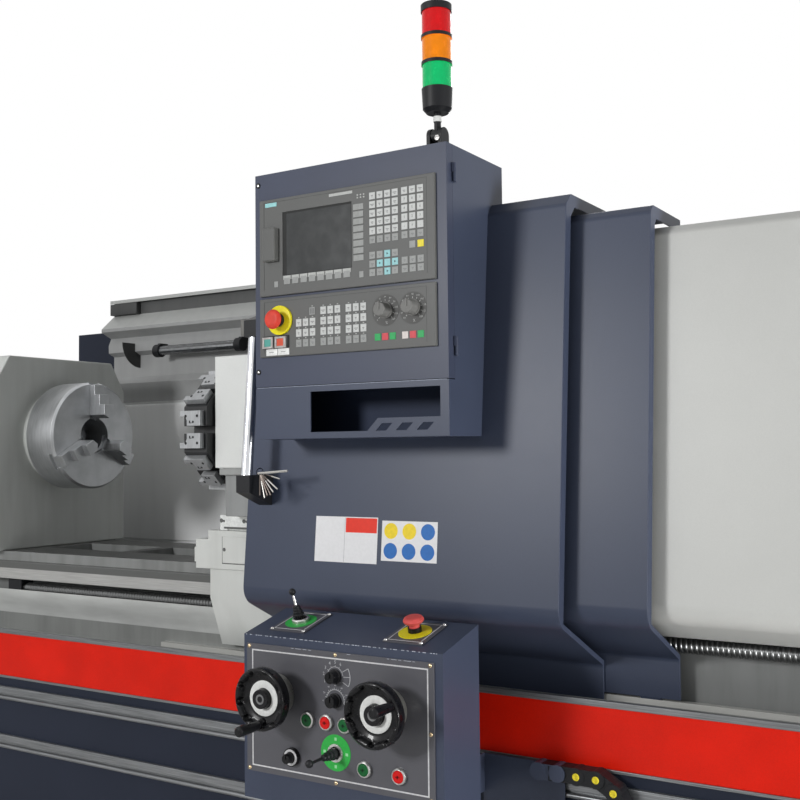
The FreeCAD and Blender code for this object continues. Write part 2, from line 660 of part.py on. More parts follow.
# ---------------------------------------------------------------- tailstock
def tailstock_body():
    """Tailstock casting: foot on the ways, waisted column and quill barrel."""
    z0 = WAY_Z + SLIDE_GAP
    foot = block(TAIL_X0, TAIL_X1, WAY_FRONT[0] + 40.0, WAY_REAR[1] - 40.0, z0, z0 + 60.0)
    column = prism_x([(-TAIL_HALF, z0 + 60.0), (-TAIL_BARREL_R + 8.0, SPINDLE_Z),
                      (TAIL_BARREL_R - 8.0, SPINDLE_Z),
                      (TAIL_HALF, z0 + 60.0)], TAIL_X0 + 20.0, TAIL_X1 - 20.0)
    barrel = rod((TAIL_X0, 0, SPINDLE_Z), (1, 0, 0), TAIL_BARREL_R, TAIL_X1 - TAIL_X0)
    bore = rod((TAIL_X0 - 1, 0, SPINDLE_Z), (1, 0, 0), QUILL_R + RUNNING, TAIL_X1 - TAIL_X0 - 20.0)
    shaft_hole = rod((TAIL_X1 - 30.0, 0, SPINDLE_Z), (1, 0, 0), PIN_R * 3 + RUNNING, 60.0)
    return fuse(foot, column, barrel).cut(bore).cut(shaft_hole)


def tailstock_quill():
    """Quill with its live centre."""
    x0 = TAIL_X0 - QUILL_OUT
    quill = turned([(0, -CENTRE_LENGTH), (4.0, -CENTRE_LENGTH), (24.0, -CENTRE_LENGTH + 35.0), (24.0, 0),
                    (QUILL_R - 3.0, 0), (QUILL_R, 3.0), (QUILL_R, QUILL_OUT + 190.0),
                    (PIN_R * 3 + 1.0, QUILL_OUT + 190.0), (PIN_R * 3 + 1.0, QUILL_OUT + 60.0),
                    (0, QUILL_OUT + 60.0)], (x0, 0, SPINDLE_Z), (1, 0, 0))
    return quill


def tailstock_wheel():
    """Three-spoked handwheel and its screw into the quill."""
    x0 = TAIL_X1 + SLIDE_GAP
    r = TAIL_WHEEL_R
    hub = turned([(0, 0), (28.0, 0), (22.0, 40.0), (0, 40.0)], (x0, 0, SPINDLE_Z), (1, 0, 0))
    rim = turned([(r - 20.0, 24.0), (r - 16.0, 20.0), (r - 4.0, 20.0), (r, 24.0), (r, 36.0),
                  (r - 4.0, 40.0),
                  (r - 16.0, 40.0), (r - 20.0, 36.0)], (x0, 0, SPINDLE_Z), (1, 0, 0))
    solids = [hub, rim, rod((TAIL_X1 - 120.0, 0, SPINDLE_Z), (1, 0, 0), PIN_R * 3, 130.0)]
    for i in range(3):
        spoke = block(x0 + 22.0, x0 + 36.0, -8.0, 8.0, SPINDLE_Z + 10.0, SPINDLE_Z + r - 10.0)
        solids.append(radial(spoke, 120.0 * i))
    handle = turned([(0, 0), (9.0, 0), (11.0, 60.0), (8.0, 66.0), (0, 66.0)],
                    (x0 + 39.0, 0, SPINDLE_Z + r - 10.0), (1, 0, 0))
    return fuse(*solids, handle)


# ---------------------------------------------------------------- carriage
def saddle():
    """Saddle and apron casting with wipers, half nut, console arm and brackets."""
    lip_z = WAY_Z - WAY_LIP - SLIDE_GAP
    front = WAY_FRONT[0] - SLIDE_GAP
    rear = WAY_REAR[1] + SLIDE_GAP
    wall = BED_WALL_FRONT - 4.0
    skin = APRON_FOOT[0] + 3.0
    z0 = WAY_Z + SLIDE_GAP
    apron_y = SADDLE_FRONT + APRON_STEP
    body = [(SADDLE_FRONT, SADDLE_TOP), (SADDLE_FRONT, z0 - WING_LIP), (apron_y, z0 - WING_LIP),
            (apron_y, SADDLE_BOTTOM), (front, SADDLE_BOTTOM), (front, z0), (rear, z0), (rear, lip_z),
            (SADDLE_REAR, lip_z), (SADDLE_REAR, SADDLE_TOP)]
    apron = [(apron_y, z0), (apron_y, SADDLE_BOTTOM), APRON_FOOT, (skin, APRON_FOOT[1]), (skin, NUT_Z),
             (wall, NUT_Z), (wall, lip_z), (front, lip_z), (front, z0)]
    rib = [(apron_y, z0 - WING_LIP), (apron_y, SADDLE_BOTTOM), (ARM_ROOT, ARM_Z0), (skin, ARM_Z0),
           (skin, SADDLE_BOTTOM - 6.0), (front, SADDLE_BOTTOM - 6.0), (front, z0 - WING_LIP)]
    solids = [prism_x(body, SADDLE_X0, SADDLE_X1), prism_x(apron, SADDLE_X0, APRON_X1)]
    solids.append(prism_x(rib, ARM_X0, ARM_X1))
    wing = [(SADDLE_FRONT, z0 - WING_LIP), (SADDLE_FRONT, WING_TOP), (WAY_FRONT[1], WING_TOP),
            (WAY_FRONT[1], z0),
            (front, z0), (front, z0 - WING_LIP)]
    for x, sign in ((SADDLE_X0, -1), (SADDLE_X1, 1)):
        a, b = sorted((x, x + sign * WING))
        solids.append(prism_x(wing, a, b))
        solids.append(block(a, b, WAY_REAR[0], SADDLE_REAR, z0, WING_TOP))
        a, b = sorted((x + sign * WING, x + sign * (WING + WIPER)))
        solids.append(block(a, b, SADDLE_FRONT + 8.0, WAY_FRONT[1], z0 + 8.0, z0 + 44.0))
        solids.append(block(a, b, WAY_REAR[0], SADDLE_REAR - 8.0, z0 + 8.0, z0 + 44.0))
    x0, low, high = COVER_PLATE
    solids.append(block(x0, SADDLE_X1 - 8.0, SADDLE_FRONT - 2.0, SADDLE_FRONT, low, high))
    solids.append(block(ARM_X0, ARM_X1, CONSOLE_BACK, skin, ARM_Z0, ARM_Z1))
    for x in BRACKETS_X:
        z1, z2 = 948.0, 980.0
        bracket = [(SADDLE_FRONT, z1), (SADDLE_FRONT, z2), (inner_y(z2), z2), (inner_y(z1), z1)]
        solids.append(prism_x(bracket, x, x + 40.0))
    bore = rod((SADDLE_X0 - 1, SCREW_Y, SCREW_Z), (1, 0, 0), SCREW_R + RUNNING, SADDLE_X1 - SADDLE_X0 + 2)
    return fuse(*solids).cut(bore)


def cross_slide():
    """Cross slide with its front end block."""
    z0 = SADDLE_TOP + SLIDE_GAP
    plate = block(SLIDE_X0, SLIDE_X1, SADDLE_FRONT + 2.0, SLIDE_REAR, z0, SLIDE_TOP)
    step = block(SLIDE_X0 + 24.0, SLIDE_X1 + 1, SADDLE_FRONT + 1.0, SADDLE_FRONT + 6.0, z0 - 1, z0 + 8.0)
    return plate.cut(step)


def turret_housing():
    """Pedestal, flange and indexing housing of the tool turret."""
    y0, y1 = HOUSING_Y0, HOUSING_Y1
    housing = block(HOUSING_X0, HOUSING_X1, y0, y1, HOUSING_Z0, HOUSING_Z1)
    housing = housing.makeFillet(5.0, z_edges(housing, lambda c: abs(c.x - HOUSING_X0) < 1e-6))
    flange = block(HOUSING_X0 + 9.0, HOUSING_X1 - 9.0, y0 + 6.0, y1 - 6.0, FLANGE_Z0, HOUSING_Z0)
    pedestal = block(HOUSING_X0 + 18.0, HOUSING_X1 - 18.0, y0 + 17.0, y1 - 17.0, SLIDE_TOP, FLANGE_Z0)
    motor = rod((HOUSING_X1, TURRET_Y, HOUSING_Z1 - 92.0), (1, 0, 0), 62.0, 130.0)
    hole = rod((HOUSING_X0 - 1, TURRET_Y, SPINDLE_Z), (1, 0, 0), SCREW_R * 2 + RUNNING, 60.0)
    return fuse(housing, flange, pedestal, motor).cut(hole)


def station(shape, index):
    """Turn a shape about the turret axis to a tool station."""
    copy = shape.copy()
    copy.rotate(V(0, TURRET_Y, SPINDLE_Z), V(1, 0, 0), 360.0 / STATIONS * index)
    return copy


def turret_disc():
    """Eight-sided tool disc with a slot and a notch at each station."""
    r = DISC_APOTHEM / math.cos(math.pi / STATIONS)
    corners = [(TURRET_Y + r * math.cos(math.pi / STATIONS * (2 * i + 1)),
                SPINDLE_Z + r * math.sin(math.pi / STATIONS * (2 * i + 1))) for i in range(STATIONS)]
    disc = prism_x(corners, DISC_X0, DISC_X1)
    boss = turned([(0, -26.0), (58.0, -26.0), (66.0, -14.0), (66.0, 0), (0, 0)],
                  (DISC_X0, TURRET_Y, SPINDLE_Z), (1, 0, 0))
    shaft = rod((DISC_X1, TURRET_Y, SPINDLE_Z), (1, 0, 0), SCREW_R * 2, 50.0)
    front = TURRET_Y - DISC_APOTHEM
    cuts = []
    for i in range(STATIONS):
        slot = block(DISC_X0 - 1, DISC_X1 + 1, front - 1, front + 34.0,
                     SPINDLE_Z - CLAMP_SLOT / 2.0, SPINDLE_Z + CLAMP_SLOT / 2.0)
        cuts.append(station(slot, i))
    return fuse(disc, boss, shaft).cut(group(cuts))


def turret_clamps():
    """Two notched clamp blocks on each flat of the tool disc."""
    front = TURRET_Y - DISC_APOTHEM - CLAMP_DEPTH
    back = TURRET_Y - DISC_APOTHEM
    z0 = CLAMP_SLOT / 2.0
    z1 = z0 + CLAMP_HEIGHT
    outline = [(DISC_X0, z0 + CLAMP_NOTCH), (DISC_X0, z1), (DISC_X1 - 8.0, z1), (DISC_X1 - 8.0, z0),
               (DISC_X0 + CLAMP_NOTCH, z0), (DISC_X0 + CLAMP_NOTCH, z0 + CLAMP_NOTCH * 0.6),
               (DISC_X0 + CLAMP_NOTCH * 0.8, z0 + CLAMP_NOTCH)]
    clamps = []
    for i in range(STATIONS):
        for sign in (-1, 1):
            points = [(x, SPINDLE_Z + sign * z) for x, z in outline]
            clamps.append(station(prism_y(points, front, back), i))
    return group(clamps)


# ---------------------------------------------------------------- sliding guards


def face_y(z):
    """Y of the front guard's leaning face at a height."""
    (y0, z0), (y1, z1) = CREASE, BEND
    return y0 + (y1 - y0) * (z - z0) / (z1 - z0)


def inner_y(z):
    """Y of the back of the front guard's face at a height."""
    return face_y(z) + SHEET * math.hypot(1.0, (CREASE[0] - BEND[0]) / (CREASE[1] - BEND[1]))


def nested_path(steps):
    """The front guard's path stepped back towards the machine."""
    return offset_path(GUARD_PATH, [-step for step in steps])


def folded_panel(path, x0, x1, flanges):
    """A folded sheet along a path with an inward flange at both ends."""
    inner = offset_path(path, [-SHEET] * (len(path) - 1))
    bends = GUARD_BENDS[:len(path) - 1] + [0]
    sheet = rounded(path + inner[::-1], bends + [max(r - SHEET, 0) for r in bends[::-1]], x0, x1 - x0)
    if not flanges:
        return sheet
    edge = offset_path(path, [-depth for depth in flanges])
    ends = [rounded(path + edge[::-1], bends + [0] * len(edge), x, SHEET) for x in (x0, x1 - SHEET)]
    return fuse(sheet, *ends)


def guard_front():
    """Front sliding guard: it rides with the carriage over the console arm."""
    panel = folded_panel(GUARD_PATH, GUARD_X0, GUARD_X1, FLANGES)
    foot = block(GUARD_X0, GUARD_X1, SKIRT_Y + SHEET, 0, SKIRT_BOTTOM - 1, FLANGE_FOOT)
    notch = block(ARM_X0 - 1, ARM_X1 + 1, SADDLE_FRONT - 4.0, SKIRT_Y + SHEET + 1,
                  SKIRT_BOTTOM - 1, SADDLE_BOTTOM)
    return panel.cut(foot).cut(notch)


def guard_middle():
    """Middle sliding guard with two shoes on the guide rail."""
    path = nested_path(MIDDLE_STEPS)
    skirt = path[-1][0]
    path[-1] = (skirt, FLANGE_FOOT)
    panel = folded_panel(path, MIDDLE_X0, MIDDLE_X1, FLANGES)
    shoes = []
    for x in (MIDDLE_X0 + 40.0, MIDDLE_X1 - 80.0):
        top = GUIDE_TOP + SLIDE_GAP
        shoes.append(block(x, x + 40.0, skirt + SHEET / 2.0, GUIDE_Y1 - 4.0, top, FLANGE_FOOT + 20.0))
    return fuse(panel, *shoes)


def guard_inner():
    """Fixed inner guard and the end wall that carries it on the tray."""
    path = nested_path(INNER_STEPS)[:5]
    (ya, za), (yb, zb) = path[3], path[4]
    path[4] = (INNER_END_Y, za + (zb - za) * (INNER_END_Y - ya) / (yb - ya))
    panel = folded_panel(path, INNER_X0, INNER_X1, None)
    back = BASE_BACK - TRAY_WALL - SHEET
    foot = BAND_Z1 + TRIM_TOP
    outline = path + [(INNER_END_Y, foot), (back, foot), (back, path[0][1])]
    wall = rounded(outline, GUARD_BENDS[:4] + [0] * 4, INNER_X1 - SHEET, SHEET)
    return fuse(panel, wall)


def splash_guard():
    """Rear guard folded from one sheet: rim, recess, hood, ribs and foot."""
    wall = REAR_WALL_Y
    path = [(wall - RIM_DEPTH, RIM_Z[0]), (wall - RIM_DEPTH, RIM_Z[1]), (wall, RIM_Z[1])]
    path += [(wall - depth, z) for depth, z in HOOD]
    path += [(wall - HOOD_DEPTH, z) for z in LAMP_SEAT]
    path += [(wall - depth, z) for depth, z in REAR_RIB]
    path += [(wall + REAR_STEP, REAR_STEP_Z[0]), (wall, REAR_STEP_Z[1]), (wall, REAR_FOOT_Z + 2.0),
             (wall + REAR_STEP, REAR_FOOT_Z), (wall + REAR_STEP, TRAY_BACK_Z)]
    inner = offset_path(path, [SHEET] * (len(path) - 1))
    return prism_x(path + inner[::-1], GUARD_REAR_X0, INNER_X1 - SHEET)


def work_lamp():
    """Tube lamp with end caps and two brackets on the rear guard."""
    x0, x1, y, z = LAMP
    tube = rod((x0, y, z), (1, 0, 0), LAMP_R, x1 - x0)
    solids = [tube]
    seat = sum(LAMP_SEAT) / 2.0
    for x in (x0, x1 - LAMP_CAP):
        solids.append(rod((x, y, z), (1, 0, 0), LAMP_CAP_R, LAMP_CAP))
        solids.append(block(x + 6.0, x + 20.0, y, REAR_WALL_Y - HOOD_DEPTH - SHEET, seat - 8.0, seat + 2.0))
    return fuse(*solids)


# ---------------------------------------------------------------- pull handle


def pull_handle():
    """Tube handle between two wedge blocks on the guard's face."""
    half = HANDLE_BLOCK / 2.0
    x0, x1 = HANDLE_X - half, HANDLE_X + half
    solids = []
    for z, sign in zip(HANDLE_Z, (-1, 1)):
        near, far = z + sign * HANDLE_BLOCK, z + sign * (HANDLE_BLOCK + HANDLE_WEDGE)
        y_front = face_y(z) - HANDLE_STAND - 14.0
        solids.append(prism_x([(y_front, z), (y_front, near), (face_y(far), far), (face_y(z), z)], x0, x1))
    z0, z1 = HANDLE_Z
    start = V(HANDLE_X, face_y(z0) - HANDLE_STAND, z0)
    run = V(HANDLE_X, face_y(z1) - HANDLE_STAND, z1) - start
    start, length = start - run * 0.02, run.Length * 1.04
    tube = rod((start.x, start.y, start.z), (run.x, run.y, run.z), HANDLE_R, length)
    return fuse(tube, *solids)


# ---------------------------------------------------------------- control box
def px(x):
    """X of a place measured from the display panel's left edge."""
    return PANEL_X + x


def pz(z):
    """Z of a place measured from the display panel's upper edge."""
    return PANEL_TOP + z


def box_shell():
    """Folded box: hollow cabinet above and the open tool tray below."""
    skin = BOX_SHEET
    front = DOOR_Y + DOOR_THICK + SLIDE_GAP + 0.2
    top_z, low_z = BOX_TOP, TRAY_SECTION_BOTTOM
    upper = prism_x([(front, top_z), (BOX_BACK, top_z), (BOX_BACK, GUARD_TOP - 40.0),
                     (face_y(low_z), low_z),
                     (front, low_z)], BOX_X0, BOX_X1)
    nose = block(BOX_X0, BOX_X1, DOOR_Y, front + 1, low_z, TRAY_SECTION_TOP)
    whole = fuse(upper, nose)
    cabinet = block(BOX_X0 + skin, BOX_X1 - skin, front - 1, face_y(DOOR_BOTTOM) - 4 * skin,
                    DOOR_BOTTOM + skin, top_z - skin)
    tray = block(BOX_X0 + skin, BOX_X1 - skin, DOOR_Y + skin, face_y(low_z) - 2 * skin,
                 low_z + skin, TRAY_SECTION_TOP - skin)
    opening = prism_y([(px(x), pz(z)) for x, z in TRAY_OPENING], DOOR_Y - 1, DOOR_Y + skin + 1)
    solids = whole.cut(cabinet).cut(tray).cut(opening)
    for i in range(3):
        window = [(px(x + i * TRAY_WINDOW_PITCH), pz(z)) for x, z in TRAY_WINDOW]
        solids = solids.cut(prism_y(window, DOOR_Y - 1, DOOR_Y + skin + 1))
    solids = solids.cut(guard_solid())
    knuckles = [hinge_knuckle(z - HINGE_HALF, z - SLIDE_GAP / 2.0, front) for z in HINGE_ZS]
    return fuse(solids, *knuckles)


def guard_solid():
    """The space that the front guard's lip and face take behind the box."""
    outline = GUARD_PATH[:4] + [(0, BEND[1]), (0, GUARD_TOP)]
    return rounded(outline, GUARD_BENDS[:3] + [0, 0, 0], GUARD_X0, GUARD_X1 - GUARD_X0)


def hinge_knuckle(z0, z1, leaf_y):
    """Half of a barrel hinge with its leaf on the box's side."""
    x = BOX_X1 + HINGE_R
    barrel = rod((x, DOOR_Y + DOOR_THICK + SLIDE_GAP / 2.0, z0), (0, 0, 1), HINGE_R, z1 - z0)
    y0, y1 = sorted((leaf_y, DOOR_Y + DOOR_THICK + SLIDE_GAP / 2.0))
    leaf = block(BOX_X1 - 1.0, x, y0, y1 + (6.0 if leaf_y > DOOR_Y + DOOR_THICK else 0), z0, z1)
    return barrel.fuse(leaf)


def box_door():
    """Folded door: front sheet, four return flanges and its hinge knuckles."""
    back = DOOR_Y + DOOR_THICK
    skin = BOX_SHEET
    door = block(BOX_X0, BOX_X1, DOOR_Y, back, DOOR_BOTTOM, BOX_TOP)
    hollow = block(BOX_X0 + skin, BOX_X1 - skin, DOOR_Y + skin, back + 1, DOOR_BOTTOM + skin,
                   BOX_TOP - skin)
    x, z = PANEL_STOP
    stop_hole = rod((px(x), DOOR_Y - 1, pz(z)), (0, 1, 0), STOP_STEM_R + SLIDE_GAP, skin + 2)
    knuckles = [hinge_knuckle(z + SLIDE_GAP / 2.0, z + HINGE_HALF, back - 6.0) for z in HINGE_ZS]
    return fuse(door.cut(hollow).cut(stop_hole), *knuckles)


def panel_plate(top, size):
    """One panel frame with softened front edges."""
    x0, z1 = PANEL_X, PANEL_TOP + top
    plate = block(x0, x0 + size[0], DOOR_Y - BEZEL, DOOR_Y, z1 - size[1], z1)
    return plate.makeChamfer(1.2, z_edges(plate, lambda c: abs(c.y - DOOR_Y + BEZEL) < 1e-6))


def panel_bezels():
    """The display frame and the operator frame, with their pockets and holes."""
    display = panel_plate(0.0, DISPLAY_SIZE)
    x0, x1, z0, z1 = SCREEN
    y0 = DOOR_Y - BEZEL
    display = display.cut(block(px(x0), px(x1), y0 - 1, y0 + SCREEN_DEPTH + 1.0, pz(z0), pz(z1)))
    cover = block(px(17.0), px(49.0), y0 - 13.0, y0, pz(-130.0), pz(-61.0))
    cover = cover.makeFillet(3.0, z_edges(cover, lambda c: abs(c.y - y0) > 1e-6))
    display = fuse(display, cover)
    operator = panel_plate(OPERATOR_TOP, OPERATOR_SIZE)
    for x, z in OVERRIDES.values():
        operator = operator.cut(rod((px(x), y0 - 1, pz(z)), (0, 1, 0), STEM_R + RUNNING, BEZEL + 2))
    x, z = PANEL_STOP
    operator = operator.cut(rod((px(x), y0 - 1, pz(z)), (0, 1, 0), STOP_STEM_R + RUNNING, BEZEL + 2))
    for x, z in LIT_BUTTONS.values():
        a, b = LIT_HALF[0] + 0.2, LIT_HALF[1] + 0.2
        operator = operator.cut(block(px(x - a), px(x + a), y0 - 1, DOOR_Y + 1, pz(z - b), pz(z + b)))
    return group([display, operator])


def screen_glass():
    """Display pane in its pocket."""
    x0, x1, z0, z1 = SCREEN
    y0 = DOOR_Y - BEZEL + SCREEN_DEPTH - 2.0
    return block(px(x0), px(x1), y0, y0 + 3.0, pz(z0), pz(z1))


def key_rows():
    """Centre and size of every key, from the table of key blocks."""
    keys = []
    for x, z, columns, rows, pitch_x, pitch_z, width, height in KEY_BLOCKS:
        for row in range(rows):
            for column in range(columns):
                keys.append((x + column * pitch_x, z - row * pitch_z, width, height))
    return keys


def panel_keys():
    """Embossed key pads of the two membrane foils."""
    y0 = DOOR_Y - BEZEL
    pads = []
    for x, z, width, height in key_rows():
        a, b = width / 2.0, height / 2.0
        pads.append(block(px(x - a), px(x + a), y0 - KEY_RISE, y0, pz(z - b), pz(z + b)))
    return group(pads)


def control_knob(x, y, z, radius, length, stem):
    """Round knob with a pointer rib and a stem into the panel."""
    body = turned([(0, 0), (radius + 2.0, 0), (radius + 2.0, 3.0), (radius, 4.0),
                   (radius - 1.0, length - 1.0),
                   (radius - 2.0, length), (0, length)], (x, y - SLIDE_GAP, z), (0, -1, 0))
    rib = block(x - 1.5, x + 1.5, y - SLIDE_GAP - length - 2.0, y - 6.0, z, z + radius)
    shaft = rod((x, y - SLIDE_GAP, z), (0, 1, 0), STEM_R, stem)
    return fuse(body, rib, shaft)


def mushroom(stem):
    """Emergency stop head at the origin, its face up, stem below."""
    r, h = STOP_HEAD_R, STOP_HEIGHT
    return turned([(0, -stem), (STOP_STEM_R, -stem), (STOP_STEM_R, h * 0.55), (r - 3.0, h * 0.6),
                   (r, h * 0.72),
                   (r, h * 0.8), (r - 3.0, h * 0.93), (r - 9.0, h), (0, h)], (0, 0, 0), (0, 0, 1))


def placed(shape, position, axis, angle):
    """Rotate a shape about the origin, then move it."""
    copy = shape.copy()
    copy.rotate(V(0, 0, 0), V(*axis), angle)
    copy.translate(V(*position))
    return copy


def lit_button(x, z):
    """Square illuminated button in the operator frame."""
    a, b = LIT_HALF
    y0 = DOOR_Y - BEZEL
    cap = block(px(x - a), px(x + a), y0 - 5.0, DOOR_Y - LIT_TRAVEL - SLIDE_GAP, pz(z - b), pz(z + b))
    return cap.makeChamfer(1.0, z_edges(cap, lambda c: abs(c.y - y0 + 5.0) < 1e-6))


# ---------------------------------------------------------------- tower light


def tower_foot():
    """Folding foot of the tower light: plate and two ears."""
    z0 = BOX_TOP
    plate = rod((TOWER_X, TOWER_Y, z0), (0, 0, 1), 34.0, 8.0)
    ears = []
    for x0 in (TOWER_X - 17.0, TOWER_X + 9.0):
        ear = rod((x0, TOWER_Y, TOWER_PIVOT), (1, 0, 0), 16.0, 8.0)
        ears.append(fuse(ear, block(x0, x0 + 8.0, TOWER_Y - 16.0, TOWER_Y + 16.0, z0 + 7.0, TOWER_PIVOT)))
    pin = rod((TOWER_X - 17.0, TOWER_Y, TOWER_PIVOT), (1, 0, 0), TOWER_PIN, 34.0)
    return fuse(plate, pin, *ears)


def tower_light():
    """Swinging stem and the stacked lamp: base, three lenses and cap."""
    z0 = TOWER_PIVOT
    eye = rod((TOWER_X - 8.7, TOWER_Y, z0), (1, 0, 0), 14.0, 17.4)
    stem = rod((TOWER_X, TOWER_Y, z0), (0, 0, 1), 7.0, TOWER_BASE_Z - z0 + 4.0)
    hole = rod((TOWER_X - 20.0, TOWER_Y, z0), (1, 0, 0), TOWER_PIN + RUNNING, 40.0)
    solids = [fuse(eye, stem).cut(hole)]
    base = turned([(0, 0), (TOWER_R - 7.0, 0), (TOWER_CAP_R - 2.0, 8.0), (TOWER_CAP_R, TOWER_BASE_H),
                   (0, TOWER_BASE_H)],
                  (TOWER_X, TOWER_Y, TOWER_BASE_Z), (0, 0, 1))
    arm = fuse(solids[0], base)
    stack = [arm]
    z = TOWER_BASE_Z + TOWER_BASE_H
    for i in range(3):
        stack.append(rod((TOWER_X, TOWER_Y, z), (0, 0, 1), TOWER_R, LENS_H))
        z += LENS_H
        height = LENS_RING if i < 2 else TOWER_TOP_H
        stack.append(rod((TOWER_X, TOWER_Y, z), (0, 0, 1), TOWER_CAP_R, height))
        z += height
    return group(stack)


# ---------------------------------------------------------------- console


def top_z(y):
    """Height of the console's sloping top at a depth."""
    return CONSOLE_Z1 + (y - CONSOLE_FRONT) * CONSOLE_SLOPE


def console_box():
    """Folded console with a sloping top, bored for its shafts and buttons."""
    y0, y1 = CONSOLE_FRONT, CONSOLE_BACK
    body = prism_x([(y0, CONSOLE_Z0), (y0, CONSOLE_Z1), (y1, CONSOLE_Z1 + CONSOLE_RISE), (y1, CONSOLE_Z0)],
                   CONSOLE_X0, CONSOLE_X1)
    holes = []
    for x in WHEEL_XS:
        holes.append(rod((x, y0 - 1, WHEEL_Z), (0, 1, 0), WHEEL_SHAFT_R + RUNNING, SHAFT_DEPTH + 1))
    for x, z in [(KNOB_X, z) for z in KNOB_ZS] + [SELECTOR]:
        holes.append(rod((x, y0 - 1, z), (0, 1, 0), STEM_R + RUNNING, 14.0))
    for x, z in BUTTONS.values():
        holes.append(rod((x, y0 - 1, z), (0, 1, 0), BUTTON_R + 0.3, BUTTON_TRAVEL + 10.0))
    x, z = STICK
    holes.append(Part.makeSphere(GIMBAL_R + 10.0, V(x, y0 + 6.0, z)))
    x, y = TOP_STICK
    holes.append(placed(rod((0, 0, -40.0), (0, 0, 1), 20.0, 60.0), (x, y, top_z(y)), (1, 0, 0), TOP_ANGLE))
    x, y = TOP_STOP
    stop_hole = rod((0, 0, -30.0), (0, 0, 1), STOP_STEM_R + RUNNING, 60.0)
    holes.append(placed(stop_hole, (x, y, top_z(y)), (1, 0, 0), TOP_ANGLE))
    return body.cut(group(holes))


def console_plates():
    """Front fascia and the two plates on the console's top."""
    x0, x1 = FASCIA_X
    z0, z1 = FASCIA_Z
    y0 = CONSOLE_FRONT - FASCIA
    fascia = block(x0, x1, y0, CONSOLE_FRONT, z0, z1)
    holes = [rod((x, y0 - 1, WHEEL_Z), (0, 1, 0), WHEEL_SHAFT_R + RUNNING, FASCIA + 2) for x in WHEEL_XS]
    for x, z in [(KNOB_X, z) for z in KNOB_ZS] + [SELECTOR]:
        holes.append(rod((x, y0 - 1, z), (0, 1, 0), STEM_R + RUNNING, FASCIA + 2))
    for x, z in BUTTONS.values():
        holes.append(rod((x, y0 - 1, z), (0, 1, 0), BUTTON_R + 0.3, FASCIA + 2))
    x, z = STICK
    holes.append(rod((x, y0 - 1, z), (0, 1, 0), GIMBAL_R + 2.0, FASCIA + 2))
    solids = [fascia.cut(group(holes))]
    for (x, y), hole in ((TOP_STICK, 16.0), (TOP_STOP, STOP_STEM_R + RUNNING)):
        a, b = TOP_PLATE[0] / 2.0, TOP_PLATE[1] / 2.0
        plate = block(-a, a, -b, b, 0, PLATE).cut(rod((0, 0, -1), (0, 0, 1), hole, PLATE + 2))
        solids.append(placed(plate, (x, y, top_z(y)), (1, 0, 0), TOP_ANGLE))
    return group(solids)


def button_bezels():
    """Bezel rings of the push buttons and collars of the two joysticks."""
    y0 = CONSOLE_FRONT - FASCIA
    rings = []
    for x, z in BUTTONS.values():
        rings.append(turned([(BUTTON_R + 0.3, 0), (BEZEL_R, 0), (BEZEL_R, 6.0), (BEZEL_R - 2.0, 8.0),
                             (BUTTON_R + 0.3, 8.0)], (x, y0, z), (0, -1, 0)))
    x, z = STICK
    rings.append(turned([(GIMBAL_R - 2.0, 0), (GIMBAL_R + 3.0, 0), (GIMBAL_R + 3.0, 4.0),
                         (GIMBAL_R - 2.0, 4.0)],
                        (x, y0, z), (0, -1, 0)))
    collar = turned([(13.0, 0), (18.0, 0), (18.0, 6.0), (16.0, 8.0), (13.0, 8.0)], (0, 0, PLATE), (0, 0, 1))
    x, y = TOP_STICK
    rings.append(placed(collar, (x, y, top_z(y)), (1, 0, 0), TOP_ANGLE))
    return group(rings)


def handwheel(x, grip):
    """Dished wheel with a scalloped rim, its dial, shaft and grip pin."""
    back = -(CONSOLE_FRONT - FASCIA - SLIDE_GAP)
    s0, sd, s1, s2, s3, s4 = back, -DIAL_BACK, -DIAL_FRONT, -RIM_BACK, -WEB_Y, -RIM_FRONT
    outline = [(0, s0), (HUB_R + 6.0, s0), (HUB_R + 6.0, sd), (DIAL_R, sd), (DIAL_R, s1 - 2.0),
               (DIAL_R - 2.0, s1),
               (HUB_R + 3.0, s1), (HUB_R + 3.0, s2 - 6.0),
               (WHEEL_R - RIM, s2), (WHEEL_R - 2.0, s2), (WHEEL_R, s2 + 3.0), (WHEEL_R, s4 - 3.0),
               (WHEEL_R - 3.0, s4), (WHEEL_R - RIM + 2.0, s4), (WHEEL_R - RIM - 1.0, s3 + 4.0),
               (HUB_R + 16.0, s3), (HUB_R, s3), (HUB_R - 1.0, s4 - 5.0), (0, s4 - 5.0)]
    wheel = turned(outline, (x, 0, WHEEL_Z), (0, -1, 0))
    scallops = []
    for i in range(SCALLOPS):
        angle = 2 * math.pi * (i + 0.5) / SCALLOPS
        r = WHEEL_R - RIM
        centre = (x + r * math.sin(angle), -(s3 + 4.0), WHEEL_Z + r * math.cos(angle))
        scallops.append(rod(centre, (0, -1, 0), SCALLOP_R, s4 - s3))
    shaft = rod((x, -s0, WHEEL_Z), (0, 1, 0), WHEEL_SHAFT_R, SHAFT_DEPTH - 2.0)
    gx, gz = x + grip[0], WHEEL_Z + grip[1]
    seat = rod((gx, -s3 + 1.0, gz), (0, -1, 0), GRIP_R - 1.5, s4 - s3 - 1.0)
    pin = rod((gx, -s3, gz), (0, -1, 0), PIN_R, -GRIP_END - 6.0 - s3)
    return fuse(wheel.cut(group(scallops)), shaft, seat, pin)


